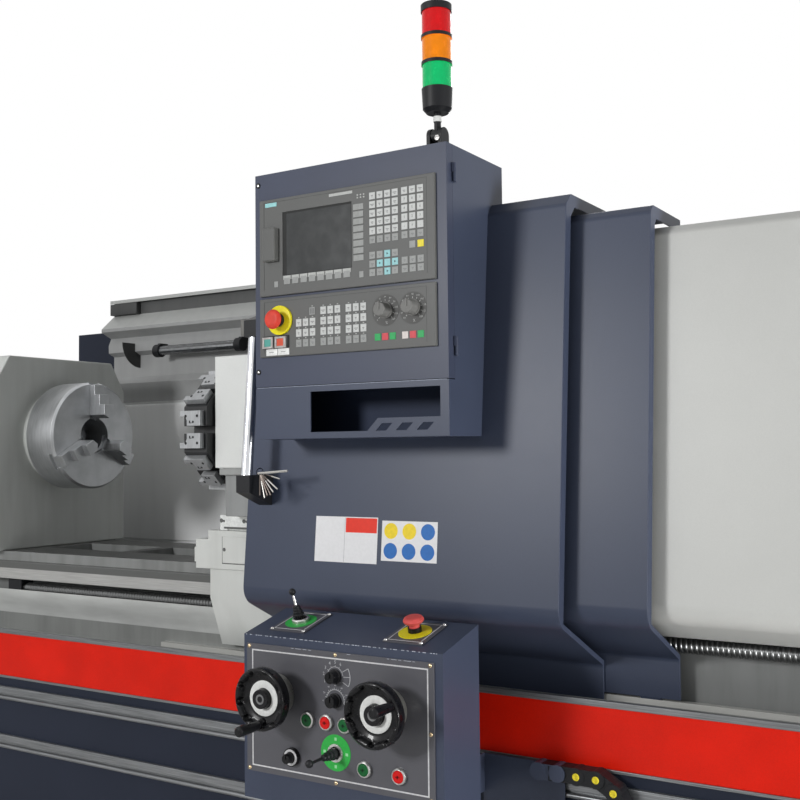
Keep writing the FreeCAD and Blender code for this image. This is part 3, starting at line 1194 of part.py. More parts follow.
def handwheel_grip(x, grip):
    """Tapered grip that turns on the handwheel's pin."""
    s0 = -RIM_FRONT + SLIDE_GAP
    length = -GRIP_END - s0
    outline = [(PIN_R + RUNNING, 0), (GRIP_R - 3.0, 0), (GRIP_R - 1.5, 4.0), (GRIP_R, length * 0.6),
               (GRIP_R, length - 4.0), (GRIP_R - 3.0, length), (0, length), (0, length - 5.0),
               (PIN_R + RUNNING, length - 5.0)]
    return turned(outline, (x + grip[0], -s0, WHEEL_Z + grip[1]), (0, -1, 0))


def push_button(x, z):
    """Round button cap that slides in its bezel."""
    y0 = CONSOLE_FRONT - FASCIA
    return turned([(0, -FASCIA - 4.0), (BUTTON_R, -FASCIA - 4.0), (BUTTON_R, 8.0),
                   (BUTTON_R - 1.5, 9.5), (0, 9.5)],
                  (x, y0, z), (0, -1, 0))


def lever(ball_at, ball_r, boot_r, boot, stem):
    """Joystick about +Z turned in one outline: stem, ribbed boot, rod and ball."""
    z0, z1 = boot
    outline = [(0, -stem), (3.0, -stem), (3.0, z0), (boot_r, z0)]
    rise = (z1 - z0) / BOOT_RIBS
    for i in range(BOOT_RIBS):
        wide = boot_r * (1 - 0.55 * i / BOOT_RIBS)
        z = z0 + rise * i
        outline += [(wide, z + 1.0), (wide, z + 0.55 * rise), (wide * 0.82, z + 0.8 * rise)]
    outline += [(3.0, z1), (2.5, ball_at - ball_r * 0.95)]
    for i in range(1, 8):
        angle = math.radians(-70.0 + i * 20.0)
        outline.append((ball_r * math.cos(angle), ball_at + ball_r * math.sin(angle)))
    outline.append((0, ball_at + ball_r))
    return turned(outline, (0, 0, 0), (0, 0, 1))


def panel_joystick():
    """Feed joystick on the fascia; its pivot lies in the gimbal ring."""
    x, z = STICK
    stick = lever(STICK_REACH, 7.5, 11.0, STICK_BOOT, 10.0)
    hub = Part.makeSphere(6.0, V(0, 0, -FASCIA - 6.0))
    y0 = CONSOLE_FRONT - FASCIA
    axle = rod((-9.0, 0, -FASCIA - 6.0), (1, 0, 0), 2.0, 18.0)
    return placed(fuse(stick, hub, axle), (x, y0, z), (1, 0, 0), 90.0)


def joystick_gimbal():
    """Ring that carries the feed joystick and turns on two trunnions."""
    x, z = STICK
    y = CONSOLE_FRONT + 6.0
    ring = rod((x, y - 3.0, z), (0, 1, 0), 11.0, 6.0).cut(rod((x, y - 4.0, z), (0, 1, 0), 8.6, 8.0))
    ring = ring.cut(rod((x - 12.0, y, z), (1, 0, 0), 2.0 + RUNNING, 24.0))
    pins = rod((x, y, z - 24.0 + SLIDE_GAP), (0, 0, 1), 2.0, 48.0 - 2 * SLIDE_GAP)
    pins = pins.cut(rod((x, y - 4.0, z), (0, 1, 0), 9.0, 8.0))
    return fuse(ring, pins.Solids[0], pins.Solids[1])


def top_joystick():
    """Spindle lever on the console's top, leaning over its cross pin."""
    x, y = TOP_STICK
    depth = TOP_PIVOT
    stick = lever(62.0, 7.0, 12.0, TOP_BOOT, depth)
    stick.translate(V(0, 0, depth))
    pin = rod((-19.7, 0, 0), (1, 0, 0), 3.0, 39.4)
    whole = fuse(placed(stick, (0, 0, 0), (0, 1, 0), TOP_STICK_LEAN), pin)
    whole.translate(V(0, 0, PLATE - depth))
    return placed(whole, (x, y, top_z(y)), (1, 0, 0), TOP_ANGLE)


# ---------------------------------------------------------------- cable chain


def cable_chain():
    """Cable chain with its moving end's plate, fixed behind the console."""
    y0, y1 = CHAIN_Y
    x, z, heading = CHAIN_X, CHAIN_Z, 0.0
    points = [(x, z)]
    for turn in [0, 0, 0] + [CHAIN_TURN] * 6 + [0] * CHAIN_LOWER:
        heading -= math.radians(turn)
        x, z = x + CHAIN_PITCH * math.cos(heading), z + CHAIN_PITCH * math.sin(heading)
        points.append((x, z))
    solids = []
    for i, ((xa, za), (xb, zb)) in enumerate(zip(points, points[1:])):
        run = V(xb - xa, 0, zb - za)
        side = V(run.z, 0, -run.x).normalize() * (CHAIN_R - 1.5)
        trim = 2.0 if i % 2 else 0.0
        corners = [V(xa, y0 + trim, za) + side, V(xb, y0 + trim, zb) + side, V(xb, y0 + trim, zb) - side,
                   V(xa, y0 + trim, za) - side]
        face = Part.Face(Part.makePolygon(corners + corners[:1]))
        solids.append(face.extrude(V(0, y1 - y0 - trim, 0)))
        solids.append(rod((xa, y0 - 1.0, za), (0, 1, 0), CHAIN_R, y1 - y0))
    plate = block(CONSOLE_X1 - 60.0, PLATE_X1, y1 - 1.0, y1 + 1.5, PLATE_Z[0], PLATE_Z[1])
    foot = block(CONSOLE_X1 - 60.0, CONSOLE_X1 - 57.0, CONSOLE_BACK, y1, PLATE_Z[0] + 22.0, PLATE_Z[1])
    return fuse(plate, foot, *solids)


# ---------------------------------------------------------------- build
parts["base_stand"] = base_stand()
parts["chip_tray"] = chip_tray()
parts["front_band"] = front_band()
parts["front_trims"] = front_trims()
parts["bed"] = bed()
parts["headstock"] = headstock()
parts["end_cover"] = end_cover()
parts["splash_guard"] = splash_guard()
parts["work_lamp"] = work_lamp()
parts["guard_inner"] = guard_inner()
parts["feed_drive"] = feed_drive()
parts["cable_chain"] = cable_chain()
parts["spindle"] = spindle()
parts["chuck_body"] = chuck_body()
for i in range(JAW_COUNT):
    parts["chuck_jaw_%d" % (i + 1)] = radial(chuck_jaw(), 360.0 / JAW_COUNT * i)
parts["feed_screw"] = feed_screw()
parts["tailstock_body"] = tailstock_body()
parts["tailstock_quill"] = tailstock_quill()
parts["tailstock_wheel"] = tailstock_wheel()
parts["guard_middle"] = guard_middle()
parts["saddle"] = saddle()
parts["guard_front"] = guard_front()
parts["pull_handle"] = pull_handle()
parts["box_shell"] = box_shell()
parts["console_box"] = console_box()
parts["console_plates"] = console_plates()
parts["button_bezels"] = button_bezels()
parts["tower_foot"] = tower_foot()
parts["cross_slide"] = cross_slide()
parts["turret_housing"] = turret_housing()
parts["turret_disc"] = turret_disc()
parts["turret_clamps"] = turret_clamps()
parts["box_door"] = box_door()
parts["panel_bezels"] = panel_bezels()
parts["screen_glass"] = screen_glass()
parts["panel_keys"] = panel_keys()
for name, (x, z) in OVERRIDES.items():
    parts[name] = control_knob(px(x), DOOR_Y - BEZEL, pz(z), 14.0, 24.0, BEZEL)
x, z = PANEL_STOP
parts["panel_estop"] = placed(mushroom(BEZEL), (px(x), DOOR_Y - BEZEL, pz(z)), (1, 0, 0), 90.0)
for name, (x, z) in LIT_BUTTONS.items():
    parts[name] = lit_button(x, z)
parts["tower_light"] = tower_light()
for side, x, grip in zip(("left", "right"), WHEEL_XS, GRIP_OFFSETS):
    parts["handwheel_" + side] = handwheel(x, grip)
    parts["grip_" + side] = handwheel_grip(x, grip)
for name, z in zip(("speed_knob_upper", "speed_knob_lower"), KNOB_ZS):
    parts[name] = control_knob(KNOB_X, CONSOLE_FRONT - FASCIA, z, KNOB_R, 20.0, 12.0)
parts["selector_knob"] = control_knob(SELECTOR[0], CONSOLE_FRONT - FASCIA, SELECTOR[1], 10.0, 24.0, 12.0)
for name, (x, z) in BUTTONS.items():
    parts[name] = push_button(x, z)
parts["panel_joystick"] = panel_joystick()
parts["joystick_gimbal"] = joystick_gimbal()
parts["top_joystick"] = top_joystick()
x, y = TOP_STOP
stop = mushroom(24.0)
stop.translate(V(0, 0, PLATE))
parts["console_estop"] = placed(stop, (x, y, top_z(y)), (1, 0, 0), TOP_ANGLE)

os.makedirs("parts", exist_ok=True)
for name, shape in parts.items():
    shape.exportStep("parts/%s.step" % name)
    box = shape.BoundBox
    print("%-20s %2d solids valid=%s vol=%.0f" % (name, len(shape.Solids), shape.isValid(), shape.Volume),
          "X %.0f..%.0f Y %.0f..%.0f Z %.0f..%.0f" % (box.XMin, box.XMax, box.YMin, box.YMax, box.ZMin,
                                                      box.ZMax))
print(len(parts), "parts")
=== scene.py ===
import math

import bmesh
import bpy
from mathutils import Matrix, Vector


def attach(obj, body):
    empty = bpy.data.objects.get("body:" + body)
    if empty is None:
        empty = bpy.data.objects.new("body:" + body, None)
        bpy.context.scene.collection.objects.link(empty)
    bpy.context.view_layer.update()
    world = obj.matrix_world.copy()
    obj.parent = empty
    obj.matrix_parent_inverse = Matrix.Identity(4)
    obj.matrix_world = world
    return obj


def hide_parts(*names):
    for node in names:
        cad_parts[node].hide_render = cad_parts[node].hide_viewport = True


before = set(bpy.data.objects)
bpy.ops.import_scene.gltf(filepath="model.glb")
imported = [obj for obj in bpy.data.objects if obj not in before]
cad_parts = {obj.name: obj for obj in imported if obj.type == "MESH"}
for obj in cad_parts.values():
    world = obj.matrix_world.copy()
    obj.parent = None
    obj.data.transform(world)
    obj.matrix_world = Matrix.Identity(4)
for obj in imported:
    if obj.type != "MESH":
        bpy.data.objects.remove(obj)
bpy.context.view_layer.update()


# ------------ welded base and cabinet
# The base is welded from sheet and powder coated dark blue-grey. The coat shows a fine
# orange peel, faint clouds in its colour and uneven gloss. The belt cover has the same coat.
class Wire:
    """One output of a shader node, which adds, scales and compares as a number does."""

    def __init__(self, socket):
        self.socket = socket

    def feed(self, kind, inputs, output=0, **settings):
        """Adds a node with its settings, then its inputs, and gives one of its outputs."""
        tree = self.socket.id_data
        node = tree.nodes.new("ShaderNode" + kind)
        for setting, value in settings.items():
            setattr(node, setting, value)
        for name, value in inputs.items():
            if isinstance(value, Wire):
                tree.links.new(value.socket, node.inputs[name])
            else:
                node.inputs[name].default_value = value
        return Wire(node.outputs[output])

    def math(self, operation, *others):
        return self.feed("Math", dict(enumerate((self,) + others)), operation=operation)

    def __add__(self, other):
        return self.math("ADD", other)

    def __sub__(self, other):
        return self.math("SUBTRACT", other)

    def __mul__(self, other):
        return self.math("MULTIPLY", other)

    def __rsub__(self, other):
        return self.feed("Math", {0: other, 1: self}, operation="SUBTRACT")

    __radd__ = __add__
    __rmul__ = __mul__

    def rise(self, low=0.3, high=0.7):
        """0 below low, 1 above high, and smooth between. Noise mostly lies between 0.3 and 0.7."""
        return self.feed("MapRange", {0: self, 1: low, 2: high}, interpolation_type="SMOOTHSTEP")

    def blend(self, low, high):
        """A colour that goes from low to high with this value."""
        return self.feed("Mix", {0: self, 6: low, 7: high}, output=2, data_type="RGBA")

    def axis(self, index):
        return self.feed("SeparateXYZ", {0: self}, output=index)

    def noise(self, scale, detail=2, stretch=(1, 1, 1)):
        """Cloudy noise on these coordinates, scale cells to the metre."""
        placed = self if stretch == (1, 1, 1) else self.feed("Mapping", {0: self, "Scale": stretch})
        return placed.feed("TexNoise", {"Vector": placed, "Scale": scale, "Detail": detail})

    def bump(self, strength, distance):
        return self.feed("Bump", {"Height": self, "Strength": strength, "Distance": distance})


class Finish:
    """A material: plain numbers go on its shader's sockets, and wires are linked to them."""

    def __init__(self, name):
        self.material = bpy.data.materials.new(name)
        self.material.use_nodes = True
        tree = self.material.node_tree
        self.shader = tree.nodes["Principled BSDF"]
        self.place = Wire(tree.nodes.new("ShaderNodeTexCoord").outputs["Object"])

    def put(self, **sockets):
        for name, value in sockets.items():
            socket = self.shader.inputs[name.replace("_", " ")]
            if isinstance(value, Wire):
                socket.id_data.links.new(value.socket, socket)
            else:
                socket.default_value = value
        return self.material


def tone(colour, factor=1):
    """A shader colour from three 0-255 values, made darker or lighter by a factor."""
    return tuple(factor * ((v / 255 + 0.055) / 1.055) ** 2.4 for v in colour) + (1,)


def moved(x, y, z):
    return Matrix.Translation((x, y, z))


def rotated(degrees, axis):
    return Matrix.Rotation(math.radians(degrees), 4, axis)


def between(colour, spread):
    """The darker and the lighter end of a colour's range."""
    return tone(colour, 1 - spread), tone(colour, 1 + spread)


def coated(name, colour, roughness, cloud=0.10, peel=0.00006, gloss=0.5, size=2.6):
    """Sprayed coat with orange peel, faint clouds and uneven gloss."""
    finish = Finish(name)
    clouds = finish.place.noise(size, 4)
    peel_cells = finish.place.noise(380)
    speck = finish.place.noise(1100)
    mask = clouds * 0.6 + peel_cells * 0.2 + speck * 0.2
    return finish.put(
        Base_Color=mask.rise(0.32, 0.68).blend(*between(colour, cloud)),
        Roughness=clouds * 0.10 + peel_cells * 0.08 + (roughness - 0.09),
        Specular_IOR_Level=gloss,
        Normal=(peel_cells * 0.7 + speck * 0.3).bump(0.6, peel),
    )


FLAT_ANGLE = math.radians(0.6)
SHARP_ANGLE = math.radians(32)


def soften(shape, edge, shortest=0):
    """Bevels a shape's sharp edges, apart from those no longer than a length."""
    sharp = [e for e in shape.edges if len(e.link_faces) == 2
             and e.calc_face_angle(0) > SHARP_ANGLE and e.calc_length() > shortest]
    bmesh.ops.bevel(shape, geom=sharp, offset=edge, offset_type="OFFSET", segments=2,
                    profile=0.5, affect="EDGES", material=-1, clamp_overlap=True)


def add_object(name, data):
    """Puts a new object with its data in the scene."""
    made = bpy.data.objects.new(name, data)
    bpy.context.scene.collection.objects.link(made)
    return made


def make_piece(name, mesh, shape, body, materials, smooth_angle):
    """Moves a shape into a mesh and makes it a smoothly shaded piece that rides on a body."""
    for face in shape.faces:
        face.smooth = True
    shape.to_mesh(mesh)
    shape.free()
    mesh.set_sharp_from_angle(angle=math.radians(smooth_angle))
    for material in materials:
        mesh.materials.append(material)
    piece = add_object(name, mesh)
    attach(piece, body)
    return piece


def dress(node, body, slot, *materials, edge=0.0012, choose=None):
    """A copy of a CAD piece with softened edges, which stands for it and rides on its body.

    choose gives the number of a face's material from its centre and its normal.
    """
    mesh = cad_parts[node].data.copy()
    mesh.materials.clear()
    shape = bmesh.new()
    shape.from_mesh(mesh)
    bmesh.ops.remove_doubles(shape, verts=shape.verts, dist=0.00001)
    if edge:
        bmesh.ops.dissolve_limit(shape, angle_limit=FLAT_ANGLE, verts=shape.verts, edges=shape.edges)
    if choose:
        for face in shape.faces:
            face.material_index = choose(face.calc_center_median(), face.normal)
    if edge:
        soften(shape, edge, shortest=edge * 0.4)
    piece = make_piece(node + "_finished", mesh, shape, body, materials, 38)
    piece.modifiers.new("face_normals", "WEIGHTED_NORMAL").keep_sharp = True
    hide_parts(node)


navy = coated("navy_powder_coat", (61, 68, 86), 0.38, gloss=0.24)
navy_dark = coated("navy_powder_coat_base", (38, 43, 56), 0.46, gloss=0.12)
dress("base_stand", "machine", "navy_paint", navy_dark, edge=0.003)
dress("end_cover", "machine", "navy_paint", navy, edge=0.002)


# ------------ chip tray and front band
# The tray is folded sheet in a light grey coat, with the bright guide rail of the guards on it.
# The band is a painted red strip between two aluminium mouldings, above two slotted rails.
def smeared(name, colour, roughness, dirt, streak=(1, 1, 0.12), amount=0.5, gloss=0.4):
    """Enamel with oil film and dust streaks that run down."""
    finish = Finish(name)
    streaks = finish.place.noise(26, 5, stretch=streak)
    clouds = finish.place.noise(4, 4)
    speck = finish.place.noise(600)
    mask = streaks * 0.55 + clouds * 0.35 + speck * 0.1
    return finish.put(
        Base_Color=(mask.rise(0.38, 0.70) * amount).blend(tone(colour), tone(dirt)),
        Roughness=clouds * 0.18 + streaks * 0.1 + (roughness - 0.14),
        Specular_IOR_Level=gloss,
        Normal=speck.bump(0.4, 0.00004),
    )


def grained(name, low, high, scale, detail=2, stretch=(1, 1, 1), rough=0.3, uneven=0, relief=None, **sockets):
    """One noise that varies a material between two tones, and its gloss and relief with them."""
    finish = Finish(name)
    grain = finish.place.noise(scale, detail, stretch)
    if relief:
        sockets["Normal"] = grain.bump(*relief)
    return finish.put(Base_Color=grain.rise().blend(low, high),
                      Roughness=grain * uneven + rough if uneven else rough, **sockets)


ANY = (-math.inf, math.inf)


def inside(centre, x=ANY, y=ANY, z=ANY):
    """Whether a point lies in a box that is given in millimetres."""
    return all(low <= place * 1000 < high for place, (low, high) in zip(centre, (x, y, z)))


def zones(*boxes):
    """Chooses material 1 for the faces in the first box, 2 in the second, and 0 elsewhere."""
    def choose(centre, normal):
        return next((number for number, box in enumerate(boxes, 1) if inside(centre, **box)), 0)
    return choose


tray_grey = smeared("tray_light_grey", (142, 144, 142), 0.42, (104, 106, 104))
chip_grey = smeared("chip_sheet_grey", (194, 196, 194), 0.38, (144, 145, 144), streak=(0.2, 1, 1))
rail_steel = smeared("guide_rail_steel", (190, 190, 186), 0.3, (120, 120, 116), streak=(0.05, 1, 1))
# The drain slots' inner faces are painted near black: painted shade in the grooves.
slot_painted_shade = smeared("drain_slot_painted_shade", (26, 27, 29), 0.5, (44, 45, 46))
CHIP_SHEET = {"y": (-200, -140), "z": (740, math.inf)}
GUIDE_RAIL = {"x": (-405, math.inf), "y": (-195, -160), "z": (690.5, 713.5)}
DRAIN_SLOTS = {"x": (-math.inf, -390), "y": (-273, -163), "z": (650, 689.5)}
dress("chip_tray", "machine", "light_grey_paint", tray_grey, chip_grey, rail_steel, slot_painted_shade, edge=0.0015,
      choose=zones(CHIP_SHEET, GUIDE_RAIL, DRAIN_SLOTS))
red_enamel = coated("red_enamel", (212, 28, 8), 0.34, cloud=0.12, peel=0.00003, gloss=0.15, size=7)
dress("front_band", "machine", "red_paint", red_enamel, edge=0.0008)
DRAWN_LINES = dict(scale=900, detail=3, stretch=(0.01, 1, 1))
rail_metal = grained("drawn_aluminium", tone((102, 104, 106)), tone((136, 138, 140)), **DRAWN_LINES,
                     rough=0.26, uneven=0.2, relief=(0.3, 0.00003), Metallic=0.6)
dress("front_trims", "machine", "rail_aluminium", rail_metal, edge=0.0008)


# ------------ bed and headstock
# The bed is grey iron with ground ways that carry an oil film; its flanks are painted.
# The headstock and its end are cast and enamelled light grey.
ground = Finish("ground_ways")
lines = ground.place.noise(1400, stretch=(0.02, 1, 1))
film = ground.place.noise(9, 4)
ground = ground.put(
    Base_Color=(lines * 0.5 + film * 0.5).rise().blend(tone((60, 61, 60)), tone((84, 84, 83))),
    Metallic=0.3, Roughness=film * 0.2 + 0.24, Normal=lines.bump(0.3, 0.00003),
)
flank = smeared("bed_flank_enamel", (128, 130, 129), 0.4, (80, 81, 80))
STRIP_TOP, STRIP_BLUR = 0.877, 0.0005
strip_steel = Finish("guide_strip_steel")
drawn = strip_steel.place.noise(**DRAWN_LINES)
above = strip_steel.place.axis(2).rise(STRIP_TOP - STRIP_BLUR, STRIP_TOP + STRIP_BLUR)
bright = drawn.rise().blend(tone((150, 150, 148)), tone((178, 178, 176)))
strip_steel = strip_steel.put(Base_Color=above.blend(bright, tone((84, 85, 84))),
                              Roughness=drawn * 0.2 + 0.26, Normal=drawn.bump(0.3, 0.00003))
WAYS = {"z": (910, math.inf)}
FRONT_FLANK = {"y": (-math.inf, -190), "z": (-math.inf, 898)}


def bed_part(centre, normal):
    """Ground way tops, the bright guide strip on the front flank and enamel elsewhere."""
    if normal.z > 0.7 and inside(centre, **WAYS):
        return 1
    return 2 if normal.y < -0.7 and inside(centre, **FRONT_FLANK) else 0


dress("bed", "machine", "grey_iron", flank, ground, strip_steel, edge=0.0018, choose=bed_part)
cast_grey = smeared("cast_light_grey", (200, 203, 200), 0.42, (160, 162, 158), amount=0.35)
dress("headstock", "machine", "light_grey_paint", cast_grey, edge=0.004)


# ------------ rear guard and lamp
# The rear guard is one folded sheet behind the ways, with coolant streaks on its light grey paint. That paint
# is set lighter or darker by zone to stand in for light and shade. The lamp is a glass tube between black
# caps, held on two brackets under the guard's hood.
# Four tones of the one light grey paint: painted light on the lower wall, a pale rim and hood, and painted
# shade on the upper wall and in the recess.
rear_wall_painted_light = smeared("rear_guard_wall_painted_light", (236, 237, 237), 0.46, (216, 217, 217), amount=0.3)
rear_light = smeared("rear_guard_rim", (186, 188, 186), 0.42, (160, 162, 160), amount=0.3)
rear_upper_shade = smeared("rear_guard_upper_painted_shade", (160, 161, 161), 0.46, (140, 141, 141), amount=0.4)
rear_recess_shade = smeared("rear_guard_recess_painted_shade", (78, 79, 79), 0.5, (60, 61, 61), amount=0.4)
WALL = 497
RIM, RECESS, HOOD, UPPER_WALL = 1734, 1690, 1638, 1380


def rear_part(centre, normal):
    """Pale rim and hood, painted shade in the recess between them and on the upper wall, and the lower wall
    lightened as painted light.
    """
    z = centre.z * 1000
    if z > RIM or (HOOD < z < RECESS and centre.y * 1000 < WALL + 1.5):
        return 1
    if z > RECESS:
        return 2
    return 3 if z > UPPER_WALL else 0


dress("splash_guard", "machine", "light_grey_paint", rear_wall_painted_light, rear_light, rear_recess_shade, rear_upper_shade,
      edge=0.001, choose=rear_part)


def new_piece(name, shape, body, *materials, edge=0):
    """Turns a shape made in millimetres into a finished piece on a body."""
    bmesh.ops.remove_doubles(shape, verts=shape.verts, dist=0.001)
    bmesh.ops.recalc_face_normals(shape, faces=shape.faces)
    if edge:
        soften(shape, edge)
    bmesh.ops.scale(shape, vec=(0.001, 0.001, 0.001), verts=shape.verts)
    return make_piece(name, bpy.data.meshes.new(name), shape, body, materials, 40)


def slab(shape, low, high, material=0, turn=None):
    """Adds a block between two corners, turned by a matrix if one is given."""
    size = Vector(high) - Vector(low)
    middle = (Vector(high) + Vector(low)) / 2
    matrix = Matrix.Translation(middle) @ Matrix.Diagonal(size.to_4d())
    made = bmesh.ops.create_cube(shape, size=1, matrix=(turn or Matrix()) @ matrix)
    for vert in made["verts"]:
        for face in vert.link_faces:
            face.material_index = material


def axle(centre, direction):
    """A frame at a centre whose Z runs along a direction."""
    return Matrix.Translation(Vector(centre)) @ Vector(direction).to_track_quat("Z", "Y").to_matrix().to_4x4()


def turned(shape, profile, matrix, steps=32, material=0):
    """Turns a profile of (radius, height) points about a frame's Z."""
    verts = [shape.verts.new((r, 0, h)) for r, h in profile]
    edges = [shape.edges.new(pair) for pair in zip(verts, verts[1:])]
    bmesh.ops.spin(shape, geom=verts + edges, cent=(0, 0, 0), axis=(0, 0, 1), angle=2 * math.pi,
                   steps=steps, use_merge=True)
    found, reach = set(verts), list(verts)
    while reach:
        vert = reach.pop()
        for edge in vert.link_edges:
            other = edge.other_vert(vert)
            if other not in found:
                found.add(other)
                reach.append(other)
    for face in {f for v in found for f in v.link_faces}:
        face.material_index = material
    bmesh.ops.transform(shape, matrix=matrix, verts=list(found))


# Dark grey for seams and joints, which also serves for the painted shadow lines.
seam_and_shadow_dark = smeared("seam_and_shadow_dark", (62, 63, 63), 0.55, (48, 49, 49))
bracket_grey = smeared("bracket_grey", (128, 127, 124), 0.42, (106, 105, 103))
# Two dark lines along the wall are painted shadow lines of a rib. Then come an upright joint, the recess's
# dark end and the lamp's bracket.
WALL_LEFT, SHADOW_LINES_END = -1296, -420
fittings = bmesh.new()
slab(fittings, (WALL_LEFT, WALL - 0.6, 1406), (SHADOW_LINES_END, WALL + 1, 1411))
slab(fittings, (WALL_LEFT, WALL - 0.5, 1396.4), (SHADOW_LINES_END, WALL + 1, 1398))
slab(fittings, (-1203, WALL + 5, 915), (-1194, WALL + 6.5, 1360))
slab(fittings, (WALL_LEFT, WALL - 22, RECESS + 4), (-1166, WALL, RIM - 1))
slab(fittings, (-645, 424, 1575), (-596, 436, 1626), 1)
new_piece("rear_guard_fittings", fittings, "machine", seam_and_shadow_dark, bracket_grey, edge=0.4)
# A quarter-round gusset of sheet stands between the wall and the hood.
GUSSET_CORNER, GUSSET_RADIUS, GUSSET_SHEET = (-1168, WALL, 1586), 84, 2.5
gusset = bmesh.new()
bmesh.ops.create_circle(gusset, cap_ends=True, segments=64, radius=GUSSET_RADIUS,
                        matrix=axle(GUSSET_CORNER, (1, 0, 0)))
for side in ((0, 1, 0), (0, 0, 1)):
    bmesh.ops.bisect_plane(gusset, geom=gusset.verts[:] + gusset.edges[:] + gusset.faces[:],
                           plane_co=GUSSET_CORNER, plane_no=side, clear_outer=True)
bmesh.ops.solidify(gusset, geom=gusset.faces[:], thickness=GUSSET_SHEET)
new_piece("hood_gusset", gusset, "machine", seam_and_shadow_dark)


black_moulding = grained("black_moulding", tone((19, 20, 23)), tone((30, 31, 34)), 900, 3,
                         rough=0.36, uneven=0.2, relief=(0.4, 0.00005), Specular_IOR_Level=0.22)
lamp_glass = grained("lamp_tube", tone((44, 46, 48)), tone((70, 72, 75)), 30, stretch=(1, 0.1, 0.1),
                     rough=0.1, uneven=0.1, Coat_Weight=0.6)
LAMP_Y, TUBE = 436, (-1003, -671)
dress("work_lamp", "machine", "black_plastic", black_moulding, lamp_glass, edge=0.001,
      choose=zones({"x": TUBE}))
# Two pale strips along the front of the glass tube are painted highlight.
lamp_highlight_paint = grained("lamp_tube_painted_highlight", tone((110, 112, 114)), tone((140, 142, 144)), 50,
                      rough=0.35, Metallic=0.3)
strips = bmesh.new()
for front, back, low, high in ((-16.6, -12, 1544.5, 1551.5), (-13, -8, 1559, 1561)):
    slab(strips, (TUBE[0] + 2, LAMP_Y + front, low), (TUBE[1] - 2, LAMP_Y + back, high))
new_piece("lamp_tube_highlight_strips", strips, "machine", lamp_highlight_paint, edge=0.4)


# ------------ spindle, chuck and jaws
# The spindle nose and the three-jaw chuck are turned and ground steel under an oily film, and
# the jaws are hardened and ground.
def machined(name, colour, roughness=0.3, stretch=(1, 1, 1), metallic=0.85, spread=0.14, size=220):
    """Cut steel with fine tool lines and an oily film."""
    finish = Finish(name)
    cut = finish.place.noise(size, 3, stretch=stretch)
    film_clouds = finish.place.noise(14, 3)
    return finish.put(
        Base_Color=(cut * 0.5 + film_clouds * 0.5).rise().blend(*between(colour, spread)),
        Metallic=metallic, Roughness=cut * 0.14 + film_clouds * 0.12 + (roughness - 0.1),
        Normal=cut.bump(0.3, 0.00003),
    )


turned_steel = machined("turned_steel", (176, 178, 180), stretch=(1, 0.1, 0.1))
for node, body in (("spindle", "spindle"), ("chuck_body", "spindle"), ("chuck_jaw_1", "jaw_1"),
                   ("chuck_jaw_2", "jaw_2"), ("chuck_jaw_3", "jaw_3")):
    dress(node, body, "steel", turned_steel, edge=0.001)


# ------------ ball screw and its drive
# The screw is ground steel with a rolled thread; its two bearing blocks are blacked steel and
# the servo motor at its tail end has a black cast housing.
screw_bright = machined("screw_steel", (108, 109, 109), roughness=0.28, metallic=0.8)
SCREW_Y, SCREW_Z, SCREW_PITCH = -172, 821, 10
JOURNAL, ROOT, CREST = 9, 14.2, 16
THREAD_START, THREAD_TURNS, TURN_STEPS = -910, 226, 16
thread = bmesh.new()
turned(thread, [(0, -950), (JOURNAL, -950), (JOURNAL, -930), (ROOT, -926), (ROOT, 1366), (JOURNAL, 1370),
                (JOURNAL, 1400), (0, 1400)], axle((0, SCREW_Y, SCREW_Z), (1, 0, 0)), steps=24)
ridge = [thread.verts.new((THREAD_START + along, SCREW_Y, SCREW_Z + radius)) for along, radius in
         ((0, ROOT - 0.2), (1.8, CREST), (5.2, CREST), (7, ROOT - 0.2))]
ridge_edges = [thread.edges.new(pair) for pair in zip(ridge, ridge[1:])]
bmesh.ops.spin(thread, geom=ridge + ridge_edges, cent=(0, SCREW_Y, SCREW_Z), axis=(1, 0, 0),
               dvec=(SCREW_PITCH / TURN_STEPS, 0, 0), angle=2 * math.pi * THREAD_TURNS,
               steps=TURN_STEPS * THREAD_TURNS)
screw_piece = new_piece("ball_screw", thread, "feed_screw", screw_bright)
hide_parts("feed_screw")
dress("feed_drive", "machine", "black_oxide", black_moulding, edge=0.001)


# ------------ tailstock
# A cast body in light grey enamel with a ground quill, a live centre and a black handwheel.
# It stands behind the sliding guards, on the right half of the bed.
dress("tailstock_body", "tailstock", "light_grey_paint", cast_grey, edge=0.003)
dress("tailstock_quill", "quill", "steel", turned_steel, edge=0.001)
dress("tailstock_wheel", "tail_wheel", "black_plastic", black_moulding, edge=0.001)


# ------------ sliding guards
# Three nested folded sheets: the fixed inner one is light grey, the middle and the front one
# carry the blue-grey coat. Each has a lip, a leaning face, a round bend and a skirt.
inner_grey = coated("inner_guard_grey", (196, 197, 194), 0.44, cloud=0.05, gloss=0.35)
dress("guard_inner", "machine", "light_grey_paint", inner_grey, edge=0.001)
dress("guard_middle", "guard_middle", "navy_paint", navy)
dress("guard_front", "carriage", "navy_paint", navy)
# Two stickers on the front guard: white foil with a plain red field, and white foil with six
# plain round dots.
FACE_Y, FACE_TOP = -334, 1668
LEAN = math.atan2(71.5, 788.5)


def on_face(x, z):
    """A frame on the front guard's face: X to the right, Y up the face, Z out of it."""
    y = FACE_Y - (FACE_TOP - z) * math.tan(LEAN)
    return moved(x, y, z) @ Matrix.Rotation(math.radians(90) - LEAN, 4, "X")


def printed(name, colour, spread=0.05, roughness=0.36):
    """Printed foil with a faint unevenness in the ink."""
    return grained(name, *between(colour, spread), 160, 3, rough=roughness, uneven=0.1,
                   relief=(0.2, 0.00004), Specular_IOR_Level=0.2)


def marked(shape, matrix, x0, x1, y0, y1, material=0, thick=0.3):
    """Adds a thin plate on a frame's XY plane."""
    slab(shape, (x0, y0, -0.2), (x1, y1, thick), material, matrix)


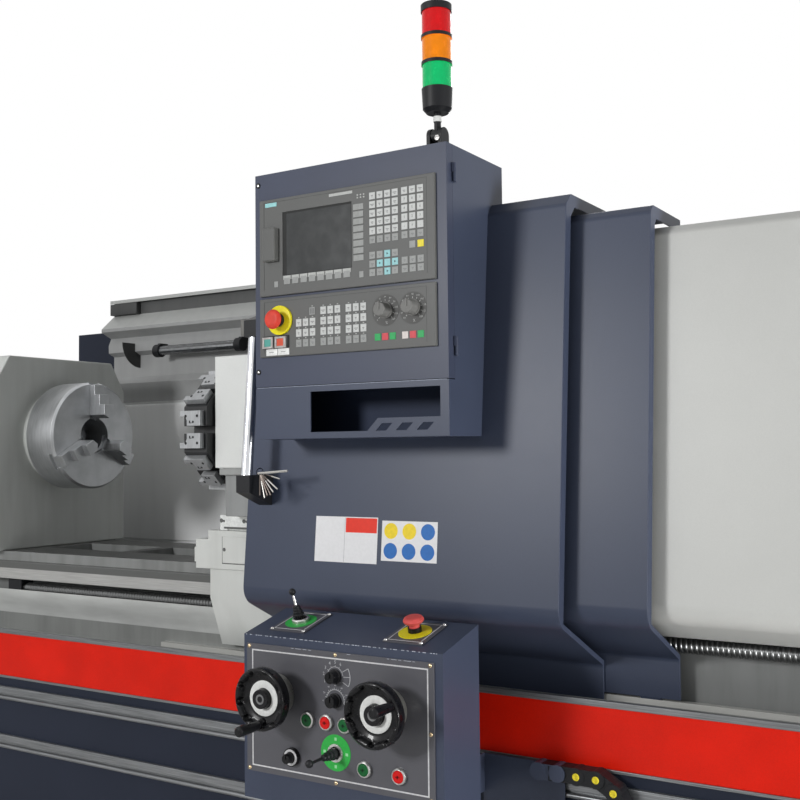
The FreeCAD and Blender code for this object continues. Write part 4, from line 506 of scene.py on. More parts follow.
def disc(shape, matrix, radius, thick, material=0, inner=0, steps=40):
    """Adds a disc, or a ring if it has an inner radius, that stands on a frame's XY plane."""
    profile = [(inner, -0.2), (radius, -0.2), (radius, thick), (inner, thick)]
    turned(shape, profile + profile[:1] if inner else profile, matrix, steps, material)


FOILS = {"white": ((224, 224, 226), 0.02), "red": ((224, 50, 30), 0.03), "yellow": ((236, 208, 40),),
         "blue": ((38, 104, 178),), "line": ((150, 150, 156),)}
foils = [printed("foil_" + name, *look) for name, look in FOILS.items()]
WHITE_FOIL, RED_FOIL, YELLOW_FOIL, BLUE_FOIL, LINE_FOIL = range(len(foils))
DOT, DOT_PITCH, DOT_ROW = 16, 43.3, 20
stickers = bmesh.new()
left_foil, right_foil = on_face(333, 1017.5), on_face(486.5, 1018.6)
marked(stickers, left_foil, -78, 78, -47, 47, WHITE_FOIL)
marked(stickers, left_foil, -1, 76, 15, 45, RED_FOIL, 0.5)
marked(stickers, right_foil, -65, 65, -40.3, 40.3, WHITE_FOIL)
for column in (-1, 0, 1):
    for row in (1, -1):
        spot = right_foil @ moved(DOT_PITCH * column, DOT_ROW * row, 0)
        disc(stickers, spot, DOT, 0.5, YELLOW_FOIL if row == 1 and column < 1 else BLUE_FOIL)
marked(stickers, left_foil, -3.6, -2.9, -46, 46, LINE_FOIL, 0.4)
new_piece("guard_stickers", stickers, "carriage", *foils)


# ------------ saddle, cross slide, apron
# The saddle and apron are one casting in pale enamel with machined strips; the cross slide on
# it is scraped steel.
saddle_pale = smeared("saddle_pale_enamel", (203, 205, 202), 0.4, (170, 172, 168), amount=0.3)
dress("saddle", "carriage", "light_grey_paint", saddle_pale, edge=0.002)
slide_steel = machined("cross_slide_steel", (212, 214, 212), roughness=0.38, stretch=(1, 0.05, 1),
                       metallic=0.3)
dress("cross_slide", "cross_slide", "steel", slide_steel, edge=0.0015)
# The joints of the way covers and the plugs and screws that show on them.
joint_dark = printed("joint_line_dark", (96, 97, 96))
lines_shape = bmesh.new()
COVER_FACE, SLIDE_FACE = -252, -248
slab(lines_shape, (-130.5, COVER_FACE + 1.6, 934), (-128.3, COVER_FACE + 2.6, 998))
slab(lines_shape, (-130.5, COVER_FACE + 1.6, 932.6), (337, COVER_FACE + 2.6, 934.6))
slab(lines_shape, (-126, SLIDE_FACE - 0.4, 1017), (-50, SLIDE_FACE + 1, 1021.5))
for x, z in ((-134, 1036.2), (-63.5, 1036), (90, 1036)):
    disc(lines_shape, axle((x, SLIDE_FACE, z), (0, -1, 0)), 5, 0.5)
    disc(lines_shape, axle((x + 8, SLIDE_FACE, z - 1), (0, -1, 0)), 3, 0.5)
for x in (-122, 100, 322):
    disc(lines_shape, axle((x, COVER_FACE, 967), (0, -1, 0)), 4.5, 0.6)
new_piece("carriage_joint_lines", lines_shape, "carriage", joint_dark)
housing_grey = coated("turret_housing_grey", (216, 218, 216), 0.4, cloud=0.04, gloss=0.4)
pedestal_grey = smeared("pedestal_grey", (142, 144, 144), 0.42, (106, 107, 107))
flange_grey = coated("flange_grey", (150, 152, 151), 0.4, cloud=0.05)
PEDESTAL_TOP, FLANGE_TOP = 1146.5, 1163.5
dress("turret_housing", "cross_slide", "light_grey_paint", housing_grey, flange_grey, pedestal_grey,
      edge=0.003, choose=zones({"z": (PEDESTAL_TOP, FLANGE_TOP)}, {"z": (0, PEDESTAL_TOP)}))


# ------------ tool turret
# The eight-sided disc is blacked steel, with two bright notched clamp blocks on each flat.
# It turns about a line in front of the spindle, at the same height.
blacked = machined("blacked_steel", (26, 27, 29), roughness=0.4, metallic=0.2, spread=0.3)
clamp_steel = machined("clamp_steel", (160, 162, 164), roughness=0.32, metallic=0.55, stretch=(1, 1, 0.1))
dress("turret_disc", "turret", "black_oxide", blacked, edge=0.001)
dress("turret_clamps", "turret", "steel", clamp_steel, edge=0.0008)
# Each clamp block has two socket screws and a stamped mark on its face.
socket_dark = printed("socket_dark", (26, 26, 27))
TURRET_Y, TURRET_Z, STATIONS = -200, 1255, 8
CLAMP_FACE = -145
sockets = bmesh.new()
for station in range(STATIONS):
    spun = Matrix.Rotation(2 * math.pi * station / STATIONS, 4, "X")
    turn_to = moved(0, TURRET_Y, TURRET_Z) @ spun
    for side in (-1, 1):
        for x in (-159, -123):
            disc(sockets, turn_to @ axle((x, CLAMP_FACE, side * 32), (0, -1, 0)), 3.4, 0.4, steps=16)
        for right, top in ((-144.4, 3.2), (-140, -1.6)):
            slab(sockets, (-148, CLAMP_FACE - 0.3, side * 18 - 3.2),
                 (right, CLAMP_FACE + 1, side * 18 + top), turn=turn_to)
        disc(sockets, turn_to @ axle((-136, CLAMP_FACE, side * 18), (0, -1, 0)), 3, 0.3, steps=12)
new_piece("clamp_sockets", sockets, "turret", socket_dark)


# ------------ pull handle
# A chromed tube between two black wedge blocks that are screwed to the guard's face. The
# operator slides the guard and the carriage by it.
chrome = grained("bright_chrome", tone((196, 198, 202)), tone((222, 224, 228)), 60, 3, (1, 1, 0.1),
                 rough=0.12, uneven=0.12, Metallic=1)
HANDLE_TUBE = (1151.5, 1449.5)
dress("pull_handle", "carriage", "chrome", chrome, black_moulding, edge=0.001,
      choose=lambda c, n: 0 if inside(c, z=HANDLE_TUBE) else 1)
# A ring of hexagon keys hangs on the lower block, with its longest key pointing to the right.
key_steel = machined("key_steel", (188, 186, 182), roughness=0.26, metallic=0.8)
key_brown = machined("key_steel_dull", (116, 106, 100), roughness=0.36, metallic=0.6)


def rod_between(shape, start, end, radius, material=0, steps=6):
    """Adds a rod between two points."""
    start, end = Vector(start), Vector(end)
    profile = [(0, 0), (radius, 0), (radius, (end - start).length), (0, (end - start).length)]
    turned(shape, profile, axle(start, end - start), steps, material)


RING, RING_RADIUS, WIRE_RADIUS = Vector((150, -447, 1157)), 9, 0.9
keys_shape = bmesh.new()
hoop = bmesh.ops.create_circle(
    keys_shape, segments=8, radius=WIRE_RADIUS,
    matrix=moved(*(RING + Vector((RING_RADIUS, 0, 0)))) @ rotated(90, "X"))
hoop_edges = list({e for v in hoop["verts"] for e in v.link_edges})
bmesh.ops.spin(keys_shape, geom=hoop["verts"] + hoop_edges, cent=RING, axis=(0, 1, 0), angle=2 * math.pi,
               steps=28, use_merge=True)
rod_between(keys_shape, (149, -452, 1155), (230, -455, 1160.6), 2.6)
# Each key has its tip's x and z, the part of the way at which its bright end starts, its radius
# and its steel.
for x, z, near, width, material in (
        (157, 1109, 0.25, 1.7, 1), (170, 1104, 0.35, 1.6, 0), (177.5, 1109, 0.5, 1.7, 1),
        (186, 1110, 0.5, 1.5, 1), (193, 1116, 0.42, 1.6, 0), (204, 1122.5, 0.45, 1.8, 0),
        (210, 1144, 0.6, 1.5, 0)):
    reach = Vector((x, -456, z)) - RING
    rod_between(keys_shape, RING + reach * near * 0.2, RING + reach * (near + 0.08), width * 0.8, 1)
    rod_between(keys_shape, RING + reach * near, RING + reach, width, material)
new_piece("hexagon_keys", keys_shape, "carriage", key_steel, key_brown)


# ------------ control box and door
# A folded box in the same blue-grey coat, with a hinged door that carries the two panels and
# an open tray below it.
# The tray's inner faces get a darker copy of the coat: painted shade inside the open tray.
navy_tray_shade = coated("navy_tray_painted_shade", (48, 56, 76), 0.5, gloss=0.1)
TRAY_INSIDE = {"x": (186, 641), "y": (-490, -271), "z": (0, 1328)}
dress("box_shell", "carriage", "navy_paint", navy, navy_tray_shade,
      choose=lambda c, n: 1 if n.z > -0.5 and inside(c, **TRAY_INSIDE) else 0)
# The door gets a slightly darker copy of the coat: painted shade for its upright face, which catches less
# sheen than the leaning guards.
navy_door_shade = coated("navy_door_painted_shade", (60, 66, 84), 0.4, gloss=0.22)
dress("box_door", "door", "navy_paint", navy_door_shade, edge=0.0014)
# Places on the two panels are measured from PANEL_X to the right and from PANEL_TOP up.
PANEL_X, PANEL_TOP, PANEL_Y = 200, 1720, -506
panel_grey = coated("panel_foil_grey", (82, 83, 82), 0.5, cloud=0.04, peel=0.00003, gloss=0.35)
panel_rim = coated("panel_rim_grey", (96, 97, 95), 0.45, cloud=0.04, peel=0.00003, gloss=0.35)
FOIL_X = (212, 604)
dress("panel_bezels", "door", "panel_grey", panel_grey, panel_rim,
      choose=lambda c, n: 0 if n.y <= -0.9 and inside(c, x=FOIL_X) else 1)
glass = Finish("display_glass")
dust = glass.place.noise(40, 5)
glass = glass.put(Base_Color=dust.rise(0.3, 0.75).blend(tone((52, 54, 55)), tone((58, 60, 61))),
                  Roughness=dust * 0.1 + 0.12, Specular_IOR_Level=0.3)
dress("screen_glass", "door", "screen_glass", glass, edge=0)
KEY_COLOURS = {
    "light": (196, 198, 197), "mid": (148, 150, 149), "yellow": (232, 214, 40), "cyan": (146, 200, 204),
    "green": (28, 160, 84), "red": (204, 66, 76), "white": (214, 206, 202),
}
key_inks = [printed("key_pad_" + name, colour, 0.04 if name == "light" else 0.05)
            for name, colour in KEY_COLOURS.items()]
LIGHT, MID, YELLOW, CYAN, GREEN, RED, WHITE = range(len(key_inks))
COLOURED_ROW = (GREEN, RED, GREEN, WHITE, RED, GREEN)


def key_ink(centre, normal):
    """Which ink a key pad has, by its place on the panel."""
    x, z = centre.x * 1000 - PANEL_X, centre.z * 1000 - PANEL_TOP
    if z < -290 and x > 280:
        return COLOURED_ROW[min(int((x - 282.5) / 17) if x < 335 else 3 + int((x - 344.5) / 17.2), 5)]
    if z < -290 or (x < 150 and -250 < z < -228):
        return MID
    if z < -220:
        return LIGHT
    if x > 380 and -138 < z < -120:
        return YELLOW
    if (305 < x < 325 and -184 < z < -134) or (288 < x < 344 and -167 < z < -150):
        return CYAN
    return MID if x < 272 or z < -103 else LIGHT


dress("panel_keys", "door", "key_grey", *key_inks, edge=0.0004, choose=key_ink)
for node, body in (("override_knob_feed", "override_feed"), ("override_knob_speed", "override_speed")):
    knob_grey = coated(node + "_grey", (116, 116, 114), 0.5, cloud=0.05, peel=0.00002, gloss=0.2)
    dress(node, body, "black_plastic", knob_grey, edge=0.0004)


# Print and small fittings on the two panels: a plain plate, border lines, the glass's black
# border, lamps, marks on the pads, numbers on the number pads, dials and button frames.
def to_front(x, y, z):
    """A frame on a face that looks to the front: X right, Y up, Z out of it."""
    return moved(x, y, z) @ rotated(90, "X")


def numerals(shape, words, size, matrix, material=0):
    """Adds a number in thin raised print, centred on a frame."""
    curve = bpy.data.curves.new("numerals", "FONT")
    curve.body = words
    curve.size = size
    curve.align_x = "CENTER"
    curve.align_y = "CENTER"
    curve.resolution_u = 1
    curve.extrude = 0.15
    holder = bpy.data.objects.new("numerals", curve)
    flat = bpy.data.meshes.new_from_object(holder)
    flat.transform(matrix)
    known = set(shape.faces)
    shape.from_mesh(flat)
    for face in shape.faces:
        if face not in known:
            face.material_index = material
    bpy.data.objects.remove(holder)
    bpy.data.curves.remove(curve)
    bpy.data.meshes.remove(flat)


# Each block of pads has its first pad's centre, its columns and rows, their two pitches and the
# height of a pad.
PAD_BLOCKS = {
    "letters": (280.8, -26, 4, 6, 17.3, 17.2, 13.5), "numbers": (354, -25.6, 3, 6, 17.5, 17, 13.5),
    "input": (371.2, -130.3, 2, 1, 18, 0, 13.5), "arrows": (280, -142, 4, 3, 17.3, 16.9, 13.5),
    "pages": (353.8, -159.2, 3, 2, 17.6, 16.4, 13.5), "modes": (101, -260.2, 3, 3, 17.2, 20.7, 15),
    "reset": (134.6, -238.8, 1, 1, 0, 0, 15), "functions": (162, -239.5, 3, 4, 17.3, 20.7, 15),
    "axes": (223.2, -239.5, 3, 4, 17.4, 20.7, 15), "feed": (291, -301.5, 3, 1, 17, 0, 13.5),
    "spindle": (352.6, -301.5, 3, 1, 17, 0, 13.5),
}
line_dark = printed("panel_line_dark", (66, 67, 66))
plate_cyan = printed("plate_cyan", (150, 206, 208))
label_white = printed("label_white", (226, 227, 225))
mark_grey = printed("key_mark_grey", (118, 119, 120))
mark_dark = printed("key_mark_dark", (50, 66, 72))
border_black = printed("border_black", (30, 31, 31), roughness=0.5)
print_pale = printed("print_pale", (176, 178, 176))
pad_pale = printed("pad_pale", (146, 148, 146))
LINE, PLATE, MARK, ARROW, BORDER, PRINT, PAD = range(7)
UPPER_LINES = ((11.6, 12.8, -188, -6), (11.6, 403, -6.8, -6), (402.4, 403.2, -188, -6))
LOWER_LINES = ((11.6, 12.8, -318, -212), (11.6, 400.6, -212.8, -212), (399.8, 400.6, -318, -212))
GLASS_BORDER = ((60, 69, -161, -30), (69, 232, -34, -30), (229.5, 232, -161, -34),
                (69, 229.5, -161, -159.5))
prints = bmesh.new()
face = to_front(PANEL_X, PANEL_Y, PANEL_TOP)
pads = to_front(PANEL_X, PANEL_Y - 0.9, PANEL_TOP)
screen = to_front(PANEL_X, PANEL_Y + 1.5, PANEL_TOP)
marked(prints, face, 16, 45.5, -15.5, -7.5, PLATE, 0.8)
marked(prints, face, 178, 234, -14.5, -9, PRINT)
for strip in UPPER_LINES + LOWER_LINES:
    marked(prints, face, *strip, LINE, 0.25)
for strip in GLASS_BORDER:
    marked(prints, screen, *strip, BORDER, 0.3)
for column in range(3):
    for row in range(2):
        x, z = 244.6 + column * 7.4, -21 - row * 5.2
        marked(prints, face, x, x + 3.2, z, z + 2.6, PRINT)
for column in range(8):
    x = 62.6 + column * 21.1
    marked(prints, face, x, x + 18.8, -169.5, -161.6, PRINT, 0.85)
for row in range(8):
    z = -48.6 - row * 14.35
    marked(prints, pads, 236.6, 249, z, z + 11.2, PAD, 0.1)
NUMBERS = ("7", "8", "9", "4", "5", "6", "1", "2", "3", "-", "0", ".")
for block, (name, (x, z, columns, rows, pitch_x, pitch_z, height)) in enumerate(PAD_BLOCKS.items()):
    for row in range(rows):
        for column in range(columns):
            at = pads @ moved(x + column * pitch_x, z - row * pitch_z, 0)
            if name == "numbers" and 1 <= row <= 4:
                numerals(prints, NUMBERS[(row - 1) * 3 + column], 7.5, at, MARK)
            elif name == "arrows" and (row, column) in ((0, 2), (1, 1), (1, 3), (2, 2)):
                disc(prints, at, 2.6, 0.25, ARROW, steps=3)
            elif name in ("input", "feed", "spindle") or (name == "arrows" and (row, column) == (1, 2)):
                continue
            elif name == "reset":
                marked(prints, at, -5, -0.8, -5.5, 5.5, MARK)
                marked(prints, at, 0.8, 5, -5.5, 5.5, MARK)
            else:
                wide = 2.2 + 0.7 * ((row * 3 + column * 5 + block) % 4)
                marked(prints, at, -wide, wide, -0.4, 0.9, MARK, 0.25)
                marked(prints, at, -wide * 0.4, wide * 0.5, -2.9, -1.7, MARK, 0.25)
            if z < -200:
                lamp = face @ moved(x + column * pitch_x, z - row * pitch_z + height / 2 + 2.6, 0)
                marked(prints, lamp, -1.5, 1.5, -0.9, 0.9, PRINT)
new_piece("panel_print", prints, "door", line_dark, plate_cyan, mark_grey, mark_dark, border_black,
          print_pale, pad_pale)


def around(matrix, angle, radius, out=0.2):
    """An upright frame at an angle in degrees and a radius on another frame's XY plane."""
    spun = rotated(angle, "Z")
    return matrix @ spun @ moved(radius, 0, out) @ spun.inverted()


def tick(shape, matrix, angle, radius, length, width, material=0, thick=0.3):
    """Adds one printed tick that points away from a frame's origin."""
    spun = matrix @ rotated(angle, "Z")
    marked(shape, spun, radius, radius + length, -width / 2, width / 2, material, thick)


dial_dark = coated("dial_ring_dark", (80, 80, 79), 0.5, cloud=0.04, peel=0.00002, gloss=0.2)
dials = bmesh.new()
DIAL_Z, DIAL_START, DIAL_STEP = 251, 225, 27
for x, numbers in ((308.8, ("0", "2", "6", "10", "40", "60", "80", "90", "100", "110", "120")),
                   (370.3, ("50", "60", "70", "80", "90", "95", "100", "105", "110", "115", "120"))):
    centre = to_front(PANEL_X + x, PANEL_Y, PANEL_TOP - DIAL_Z)
    disc(dials, centre, 30.5, 0.5, 0, steps=64)
    for i, number in enumerate(numbers):
        angle = DIAL_START - DIAL_STEP * i
        tick(dials, centre, angle, 18, 3.2, 1.2, 1, 0.8)
        numerals(dials, number, 5.4, around(centre, angle, 25.6, 0.7), 1)
    numerals(dials, "%", 8, centre @ moved(3, -24.5, 0.7), 1)
new_piece("override_dials", dials, "door", dial_dark, print_pale)
# The stop's yellow disc and collar, and clear frames and labels about the two lit buttons.
STOP_DISC, STOP_COLLAR, LIT_LABEL, LIT_FRAME, LIT_MARK = range(5)
STOP_X, STOP_Z, LIT_Z = 254, 1468, 1423
panel_face = to_front(0, PANEL_Y, 0)
frames = bmesh.new()
disc(frames, to_front(STOP_X, PANEL_Y, STOP_Z), 30, 5, STOP_DISC, steps=64)
disc(frames, to_front(STOP_X, PANEL_Y - 5, STOP_Z), 13.5, 7, STOP_COLLAR, inner=10.6)
marked(frames, panel_face, 209, 276, 1411, 1437, STOP_COLLAR, 2)
for x in (217.6, 247.4):
    marked(frames, panel_face, x, x + 28.8, 1397, 1410.4, LIT_LABEL, 1.2)
    marked(frames, panel_face, x + 8, x + 20, 1403.2, 1404.4, LIT_MARK, 1.4)
for x in (224.5, 256.5):
    centre = to_front(x, PANEL_Y, LIT_Z)
    for inner_x, inner_y, reach_x, low, high in ((8.8, 7.6, 9, 5.2, 6.4), (11.4, 10.3, 11.4, 0, 5.4)):
        for x0, x1, y0, y1 in ((-13.4, -inner_x, -11.6, 11.6), (inner_x, 13.4, -11.6, 11.6),
                               (-reach_x, reach_x, inner_y, 11.6), (-reach_x, reach_x, -11.6, -inner_y)):
            slab(frames, (x0, y0, low), (x1, y1, high), LIT_FRAME, centre)
disc_yellow = printed("stop_disc_yellow", (232, 220, 34), 0.04)
frame_chrome = machined("frame_chrome", (206, 204, 202), roughness=0.2, metallic=0.7)
frame_clear = printed("frame_clear", (172, 168, 166), 0.1, 0.2)
new_piece("panel_frames", frames, "door", disc_yellow, border_black, label_white, frame_clear, mark_grey,
          edge=0.25)
# Two round locks on the box's edge, and a pale strip of painted highlight on the folded edge above its tray.
locks = bmesh.new()
for x, z in ((192.5, 1755), (192, 1365)):
    disc(locks, to_front(x, -500, z), 5.5, 1.6, 1, steps=32)
    disc(locks, to_front(x, -501.6, z), 2.4, 0.3, 0, steps=24)
slab(locks, (188, -500.7, 1331.3), (639, -499.5, 1332.5), 2)
edge_painted_highlight = printed("folded_edge_painted_highlight", (150, 158, 174), 0.2)
new_piece("door_locks", locks, "carriage", frame_chrome, border_black, edge_painted_highlight, edge=0.3)


def moulded(name, colour, roughness=0.3, coat=0.3, spread=0.08):
    """Gloss moulding with faint flow marks."""
    return grained(name, *between(colour, spread), 70, 3, rough=roughness - 0.06, uneven=0.12,
                   relief=(0.15, 0.0001), Coat_Weight=coat, Specular_IOR_Level=0.15)


stop_red = moulded("stop_red", (210, 68, 54), 0.42, 0)
console_stop_red = moulded("console_stop_red", (206, 84, 80), 0.46, 0)
signal_green = moulded("signal_green", (20, 92, 46), 0.34, 0.05)
signal_red = moulded("signal_red", (208, 22, 22), 0.34, 0.05)
gloss_black = moulded("gloss_black", (17, 17, 20), 0.28, 0.18, 0.2)
dress("panel_estop", "panel_stop", "red_plastic", stop_red, edge=0.0008)
lit_teal = moulded("lit_teal", (84, 160, 150), 0.36)
lit_orange = moulded("lit_orange", (214, 84, 56), 0.36)
dress("lit_button_green", "lit_green", "green_plastic", lit_teal, edge=0.0006)
dress("lit_button_red", "lit_red", "red_plastic", lit_orange, edge=0.0006)


# ------------ console
# A folded console on the saddle's arm, with a sloping top and a printed fascia. It carries two
# handwheels, three knobs, five push buttons, a stop and two joysticks.
dress("console_box", "carriage", "navy_paint", navy, edge=0.0016)
fascia_dark = coated("fascia_foil", (80, 80, 86), 0.4, cloud=0.05, peel=0.00002, gloss=0.45)
dress("console_plates", "carriage", "fascia", fascia_dark, edge=0.0008)
ring_metal = machined("ring_metal", (190, 190, 188), roughness=0.26, metallic=0.85, size=500)
dress("button_bezels", "carriage", "bezel_metal", ring_metal, edge=0.0004)
wheel_dial = machined("wheel_dial_steel", (170, 170, 164), roughness=0.28, metallic=0.8)
WHEEL_DIAL = {"y": (-600.5, math.inf)}
for side in ("left", "right"):
    dress("handwheel_" + side, "wheel_" + side, "grip_plastic", gloss_black, wheel_dial, edge=0,
          choose=zones(WHEEL_DIAL))
    dress("grip_" + side, "grip_" + side, "grip_plastic", gloss_black, edge=0.0006)
for node, body in (("speed_knob_upper", "speed_upper"), ("speed_knob_lower", "speed_lower"),
                   ("selector_knob", "selector")):
    dress(node, body, "black_plastic", gloss_black, edge=0.0004)
for node in ("button_green_left", "button_green_right", "button_green_low"):
    dress(node, node, "green_plastic", signal_green, edge=0.0005)
for node in ("button_red_left", "button_red_low"):
    dress(node, node, "red_plastic", signal_red, edge=0.0005)
dress("console_estop", "console_stop", "red_plastic", console_stop_red, edge=0.0008)
dress("joystick_gimbal", "gimbal", "steel", ring_metal, edge=0.0003)
dress("panel_joystick", "feed_stick", "black_plastic", black_moulding, edge=0.0003)
BRIGHT_SHAFT = {"z": (893.5, 907.5)}
dress("top_joystick", "spindle_lever", "black_plastic", black_moulding, frame_chrome, edge=0.0003,
      choose=zones(BRIGHT_SHAFT))
# Print and fittings on the console: white lines, brass screws, the speed scales, wheel faces,
# coloured discs under the sticks and the stop, and the lines on the two sloping plates.
line_white = printed("line_white", (206, 206, 208), 0.08)
scale_white = printed("scale_white", (186, 187, 190), 0.08)
FASCIA_Y = -563
WHITE_LINE, SCALE, SEAT_DISC, SEAT_MARK, KNOB_COLLAR = range(5)
prints = bmesh.new()


def border(shape, matrix, x0, x1, y0, y1, width, material=0):
    """Adds a printed line round a rectangle on a frame's XY plane."""
    for strip in ((x0, x0 + width, y0, y1), (x1 - width, x1, y0, y1),
                  (x0 + width, x1 - width, y1 - width, y1), (x0 + width, x1 - width, y0, y0 + width)):
        marked(shape, matrix, *strip, material)


def arc(shape, matrix, radius, width, start, end, steps, material=0):
    """Adds a printed arc between two angles in degrees on a frame's XY plane."""
    step = (end - start) / steps
    chord = 2 * radius * math.tan(math.radians(step / 2)) + 0.4
    for i in range(steps):
        tick(shape, matrix, start + step * (i + 0.5), radius, width, chord, material)


border(prints, to_front(0, FASCIA_Y, 0), 223.8, 628.4, 585, 811.6, 2.6, WHITE_LINE)
upper, lower = to_front(425, FASCIA_Y, 777.4), to_front(425, FASCIA_Y, 732.5)
arc(prints, upper, 17.2, 1.2, 8, 165, 14, SCALE)
arc(prints, upper, 33.4, 1.2, -28, 30, 8, SCALE)
for angle in (30, 2, -28):
    tick(prints, upper, angle, 19, 14.5, 1, SCALE)
for angle, number in ((204, "1"), (174, "2"), (147, "3"), (118, "4"), (89, "5"), (62, "6")):
    tick(prints, upper, angle, 18.4, 2.6, 0.9, SCALE)
    numerals(prints, number, 9, around(upper, angle, 26.5), SCALE)
arc(prints, lower, 19.6, 1.1, -12, 192, 18, SCALE)
for i in range(18):
    tick(prints, lower, -12 + 12 * i, 20.4, 3.6 if i % 3 == 0 else 2.2, 1, SCALE)
for i, number in enumerate(("0", "20", "40", "60", "80", "100", "120")):
    numerals(prints, number, 5, around(lower, 186 - 32 * i, 28.4), SCALE)
stick_seat = to_front(425.4, FASCIA_Y, 635.8)
disc(prints, stick_seat, 33.8, 0.8, SEAT_DISC, inner=13.5, steps=64)
for angle in (0, 90, 180, 270):
    tick(prints, stick_seat, angle, 22.6, 5.8, 5.2, SEAT_MARK, 1)
SELECTOR_X, SELECTOR_Z = 324, 615
disc(prints, to_front(SELECTOR_X, FASCIA_Y, SELECTOR_Z), 17.5, 8, KNOB_COLLAR, inner=10.6, steps=48)
disc(prints, to_front(SELECTOR_X, FASCIA_Y - 8, SELECTOR_Z), 15.2, 0.9, WHITE_LINE, inner=11, steps=48)
SCREWS = ((216.8, 817), (425, 817), (632.5, 817), (632.5, 696), (217.2, 579.6), (425, 579.6),
          (632.5, 579.6), (217.2, 696))
screws = bmesh.new()
for x, z in SCREWS:
    turned(screws, [(0, -0.4), (3.8, -0.4), (3.6, 0.8), (2.6, 1.7), (0, 2.1)], to_front(x, FASCIA_Y, z), 20)
    marked(screws, to_front(x, FASCIA_Y, z), -2.4, 2.4, -0.4, 0.4, 1, 2.2)
brass = machined("screw_brass", (214, 190, 152), roughness=0.22, metallic=0.7)
new_piece("console_screws", screws, "carriage", brass, socket_dark)
signal_disc = printed("signal_disc_green", (52, 172, 74), 0.06)
mark_mint = printed("mark_mint", (150, 214, 160), 0.05)
new_piece("console_print", prints, "carriage", line_white, scale_white, signal_disc, mark_mint, gloss_black)
HUB_Z, DISH_FACE, HUB_FACE = 733.5, -618, -630
for side, x in (("left", 298), ("right", 552)):
    face_plate = bmesh.new()
    disc(face_plate, to_front(x, DISH_FACE, HUB_Z), 33.6, 1, 0, inner=19.6, steps=64)
    disc(face_plate, to_front(x, HUB_FACE, HUB_Z), 9.5, 0.6, 1, inner=6, steps=32)
    new_piece("wheel_face_" + side, face_plate, "wheel_" + side, label_white, mark_grey, edge=0.25)
BUTTON_FACE = FASCIA_Y - 9.5
BUTTONS = {"green_left": (362, 689.5), "red_left": (405.6, 690.2), "green_right": (448, 690.2),
           "green_low": (491.4, 615.4), "red_low": (567, 614)}
for name, (x, z) in BUTTONS.items():
    mark = bmesh.new()
    at = to_front(x, BUTTON_FACE, z)
    marked(mark, at, -4.6, 4.6, -0.9, 0.9, 0, 0.25)
    marked(mark, at, -1.6, 1.6, -3.4, 3.2, 0, 0.25)
    ink = printed("button_mark_" + name, (14, 48, 28) if "green" in name else (120, 12, 12))
    new_piece("button_mark_" + name, mark, "button_" + name, ink)
# Light dashes along the top front edge and the fascia's upper edge stand for coat rubbed through and for
# painted highlight on those edges.
rubbed_and_lit_dashes = bmesh.new()
for i in range(58):
    start = 206 + i * 7.7 + 2.6 * math.sin(i * 2.3)
    length = 2.2 + 2 * math.sin(i * 1.7) ** 2 + (2.6 if 18 < i < 40 else 0)
    slab(rubbed_and_lit_dashes, (start, -560.25, 838), (start + length, -559.1, 839.2))
for start, length in ((321, 6), (331, 14), (349, 9), (362, 7), (452, 8), (541, 5),
                      (550, 12), (566, 6), (577, 16), (596, 5)):
    slab(rubbed_and_lit_dashes, (start, FASCIA_Y - 0.2, 820.6), (start + length, FASCIA_Y + 1, 821.3))
rubbed_and_lit_edge = printed("edge_rub_and_painted_highlight", (190, 196, 208), 0.1)
new_piece("console_edge_rub_and_painted_highlight", rubbed_and_lit_dashes, "carriage", rubbed_and_lit_edge)
TOP_FRONT_Y, TOP_FRONT_Z = -560, 839
TOP_LEAN = math.atan(33 / 135)


def on_top(x, y, out=3):
    """A frame on the console's sloping top: X right, Y up the slope, Z out of it."""
    z = TOP_FRONT_Z + (y - TOP_FRONT_Y) * math.tan(TOP_LEAN)
    return moved(x, y, z) @ Matrix.Rotation(TOP_LEAN, 4, "X") @ moved(0, 0, out)


# Each plate has its centre, its disc's colour and thickness, and the radius of its hole.
PLATE_LINE, GREEN_DISC, YELLOW_DISC, CHROME, BLACK = range(5)
LEVER_PLATE, STOP_PLATE = (288, -487), (557, -488)
PLATES = ((LEVER_PLATE, GREEN_DISC, 0.8, 17.6), (STOP_PLATE, YELLOW_DISC, 1.6, 10.6))
prints = bmesh.new()
for centre, colour, thick, hole in PLATES:
    plate = on_top(*centre)
    border(prints, plate, -36, 36, -42, 42, 1.8, PLATE_LINE)
    disc(prints, plate, 32, thick, colour, inner=hole, steps=64)
    for corner in ((-38.5, -44.6), (-38.5, 44.6), (38.5, -44.6), (38.5, 44.6)):
        turned(prints, [(0, -0.2), (4, -0.2), (3.6, 1.4), (2.2, 2.4), (0, 2.7)],
               plate @ moved(*corner, 0), 20, CHROME)
disc(prints, on_top(*STOP_PLATE, 4.6), 13.2, 9, BLACK, inner=10.5)
new_piece("top_plate_print", prints, "carriage", line_white, signal_disc, disc_yellow, frame_chrome,
          gloss_black)


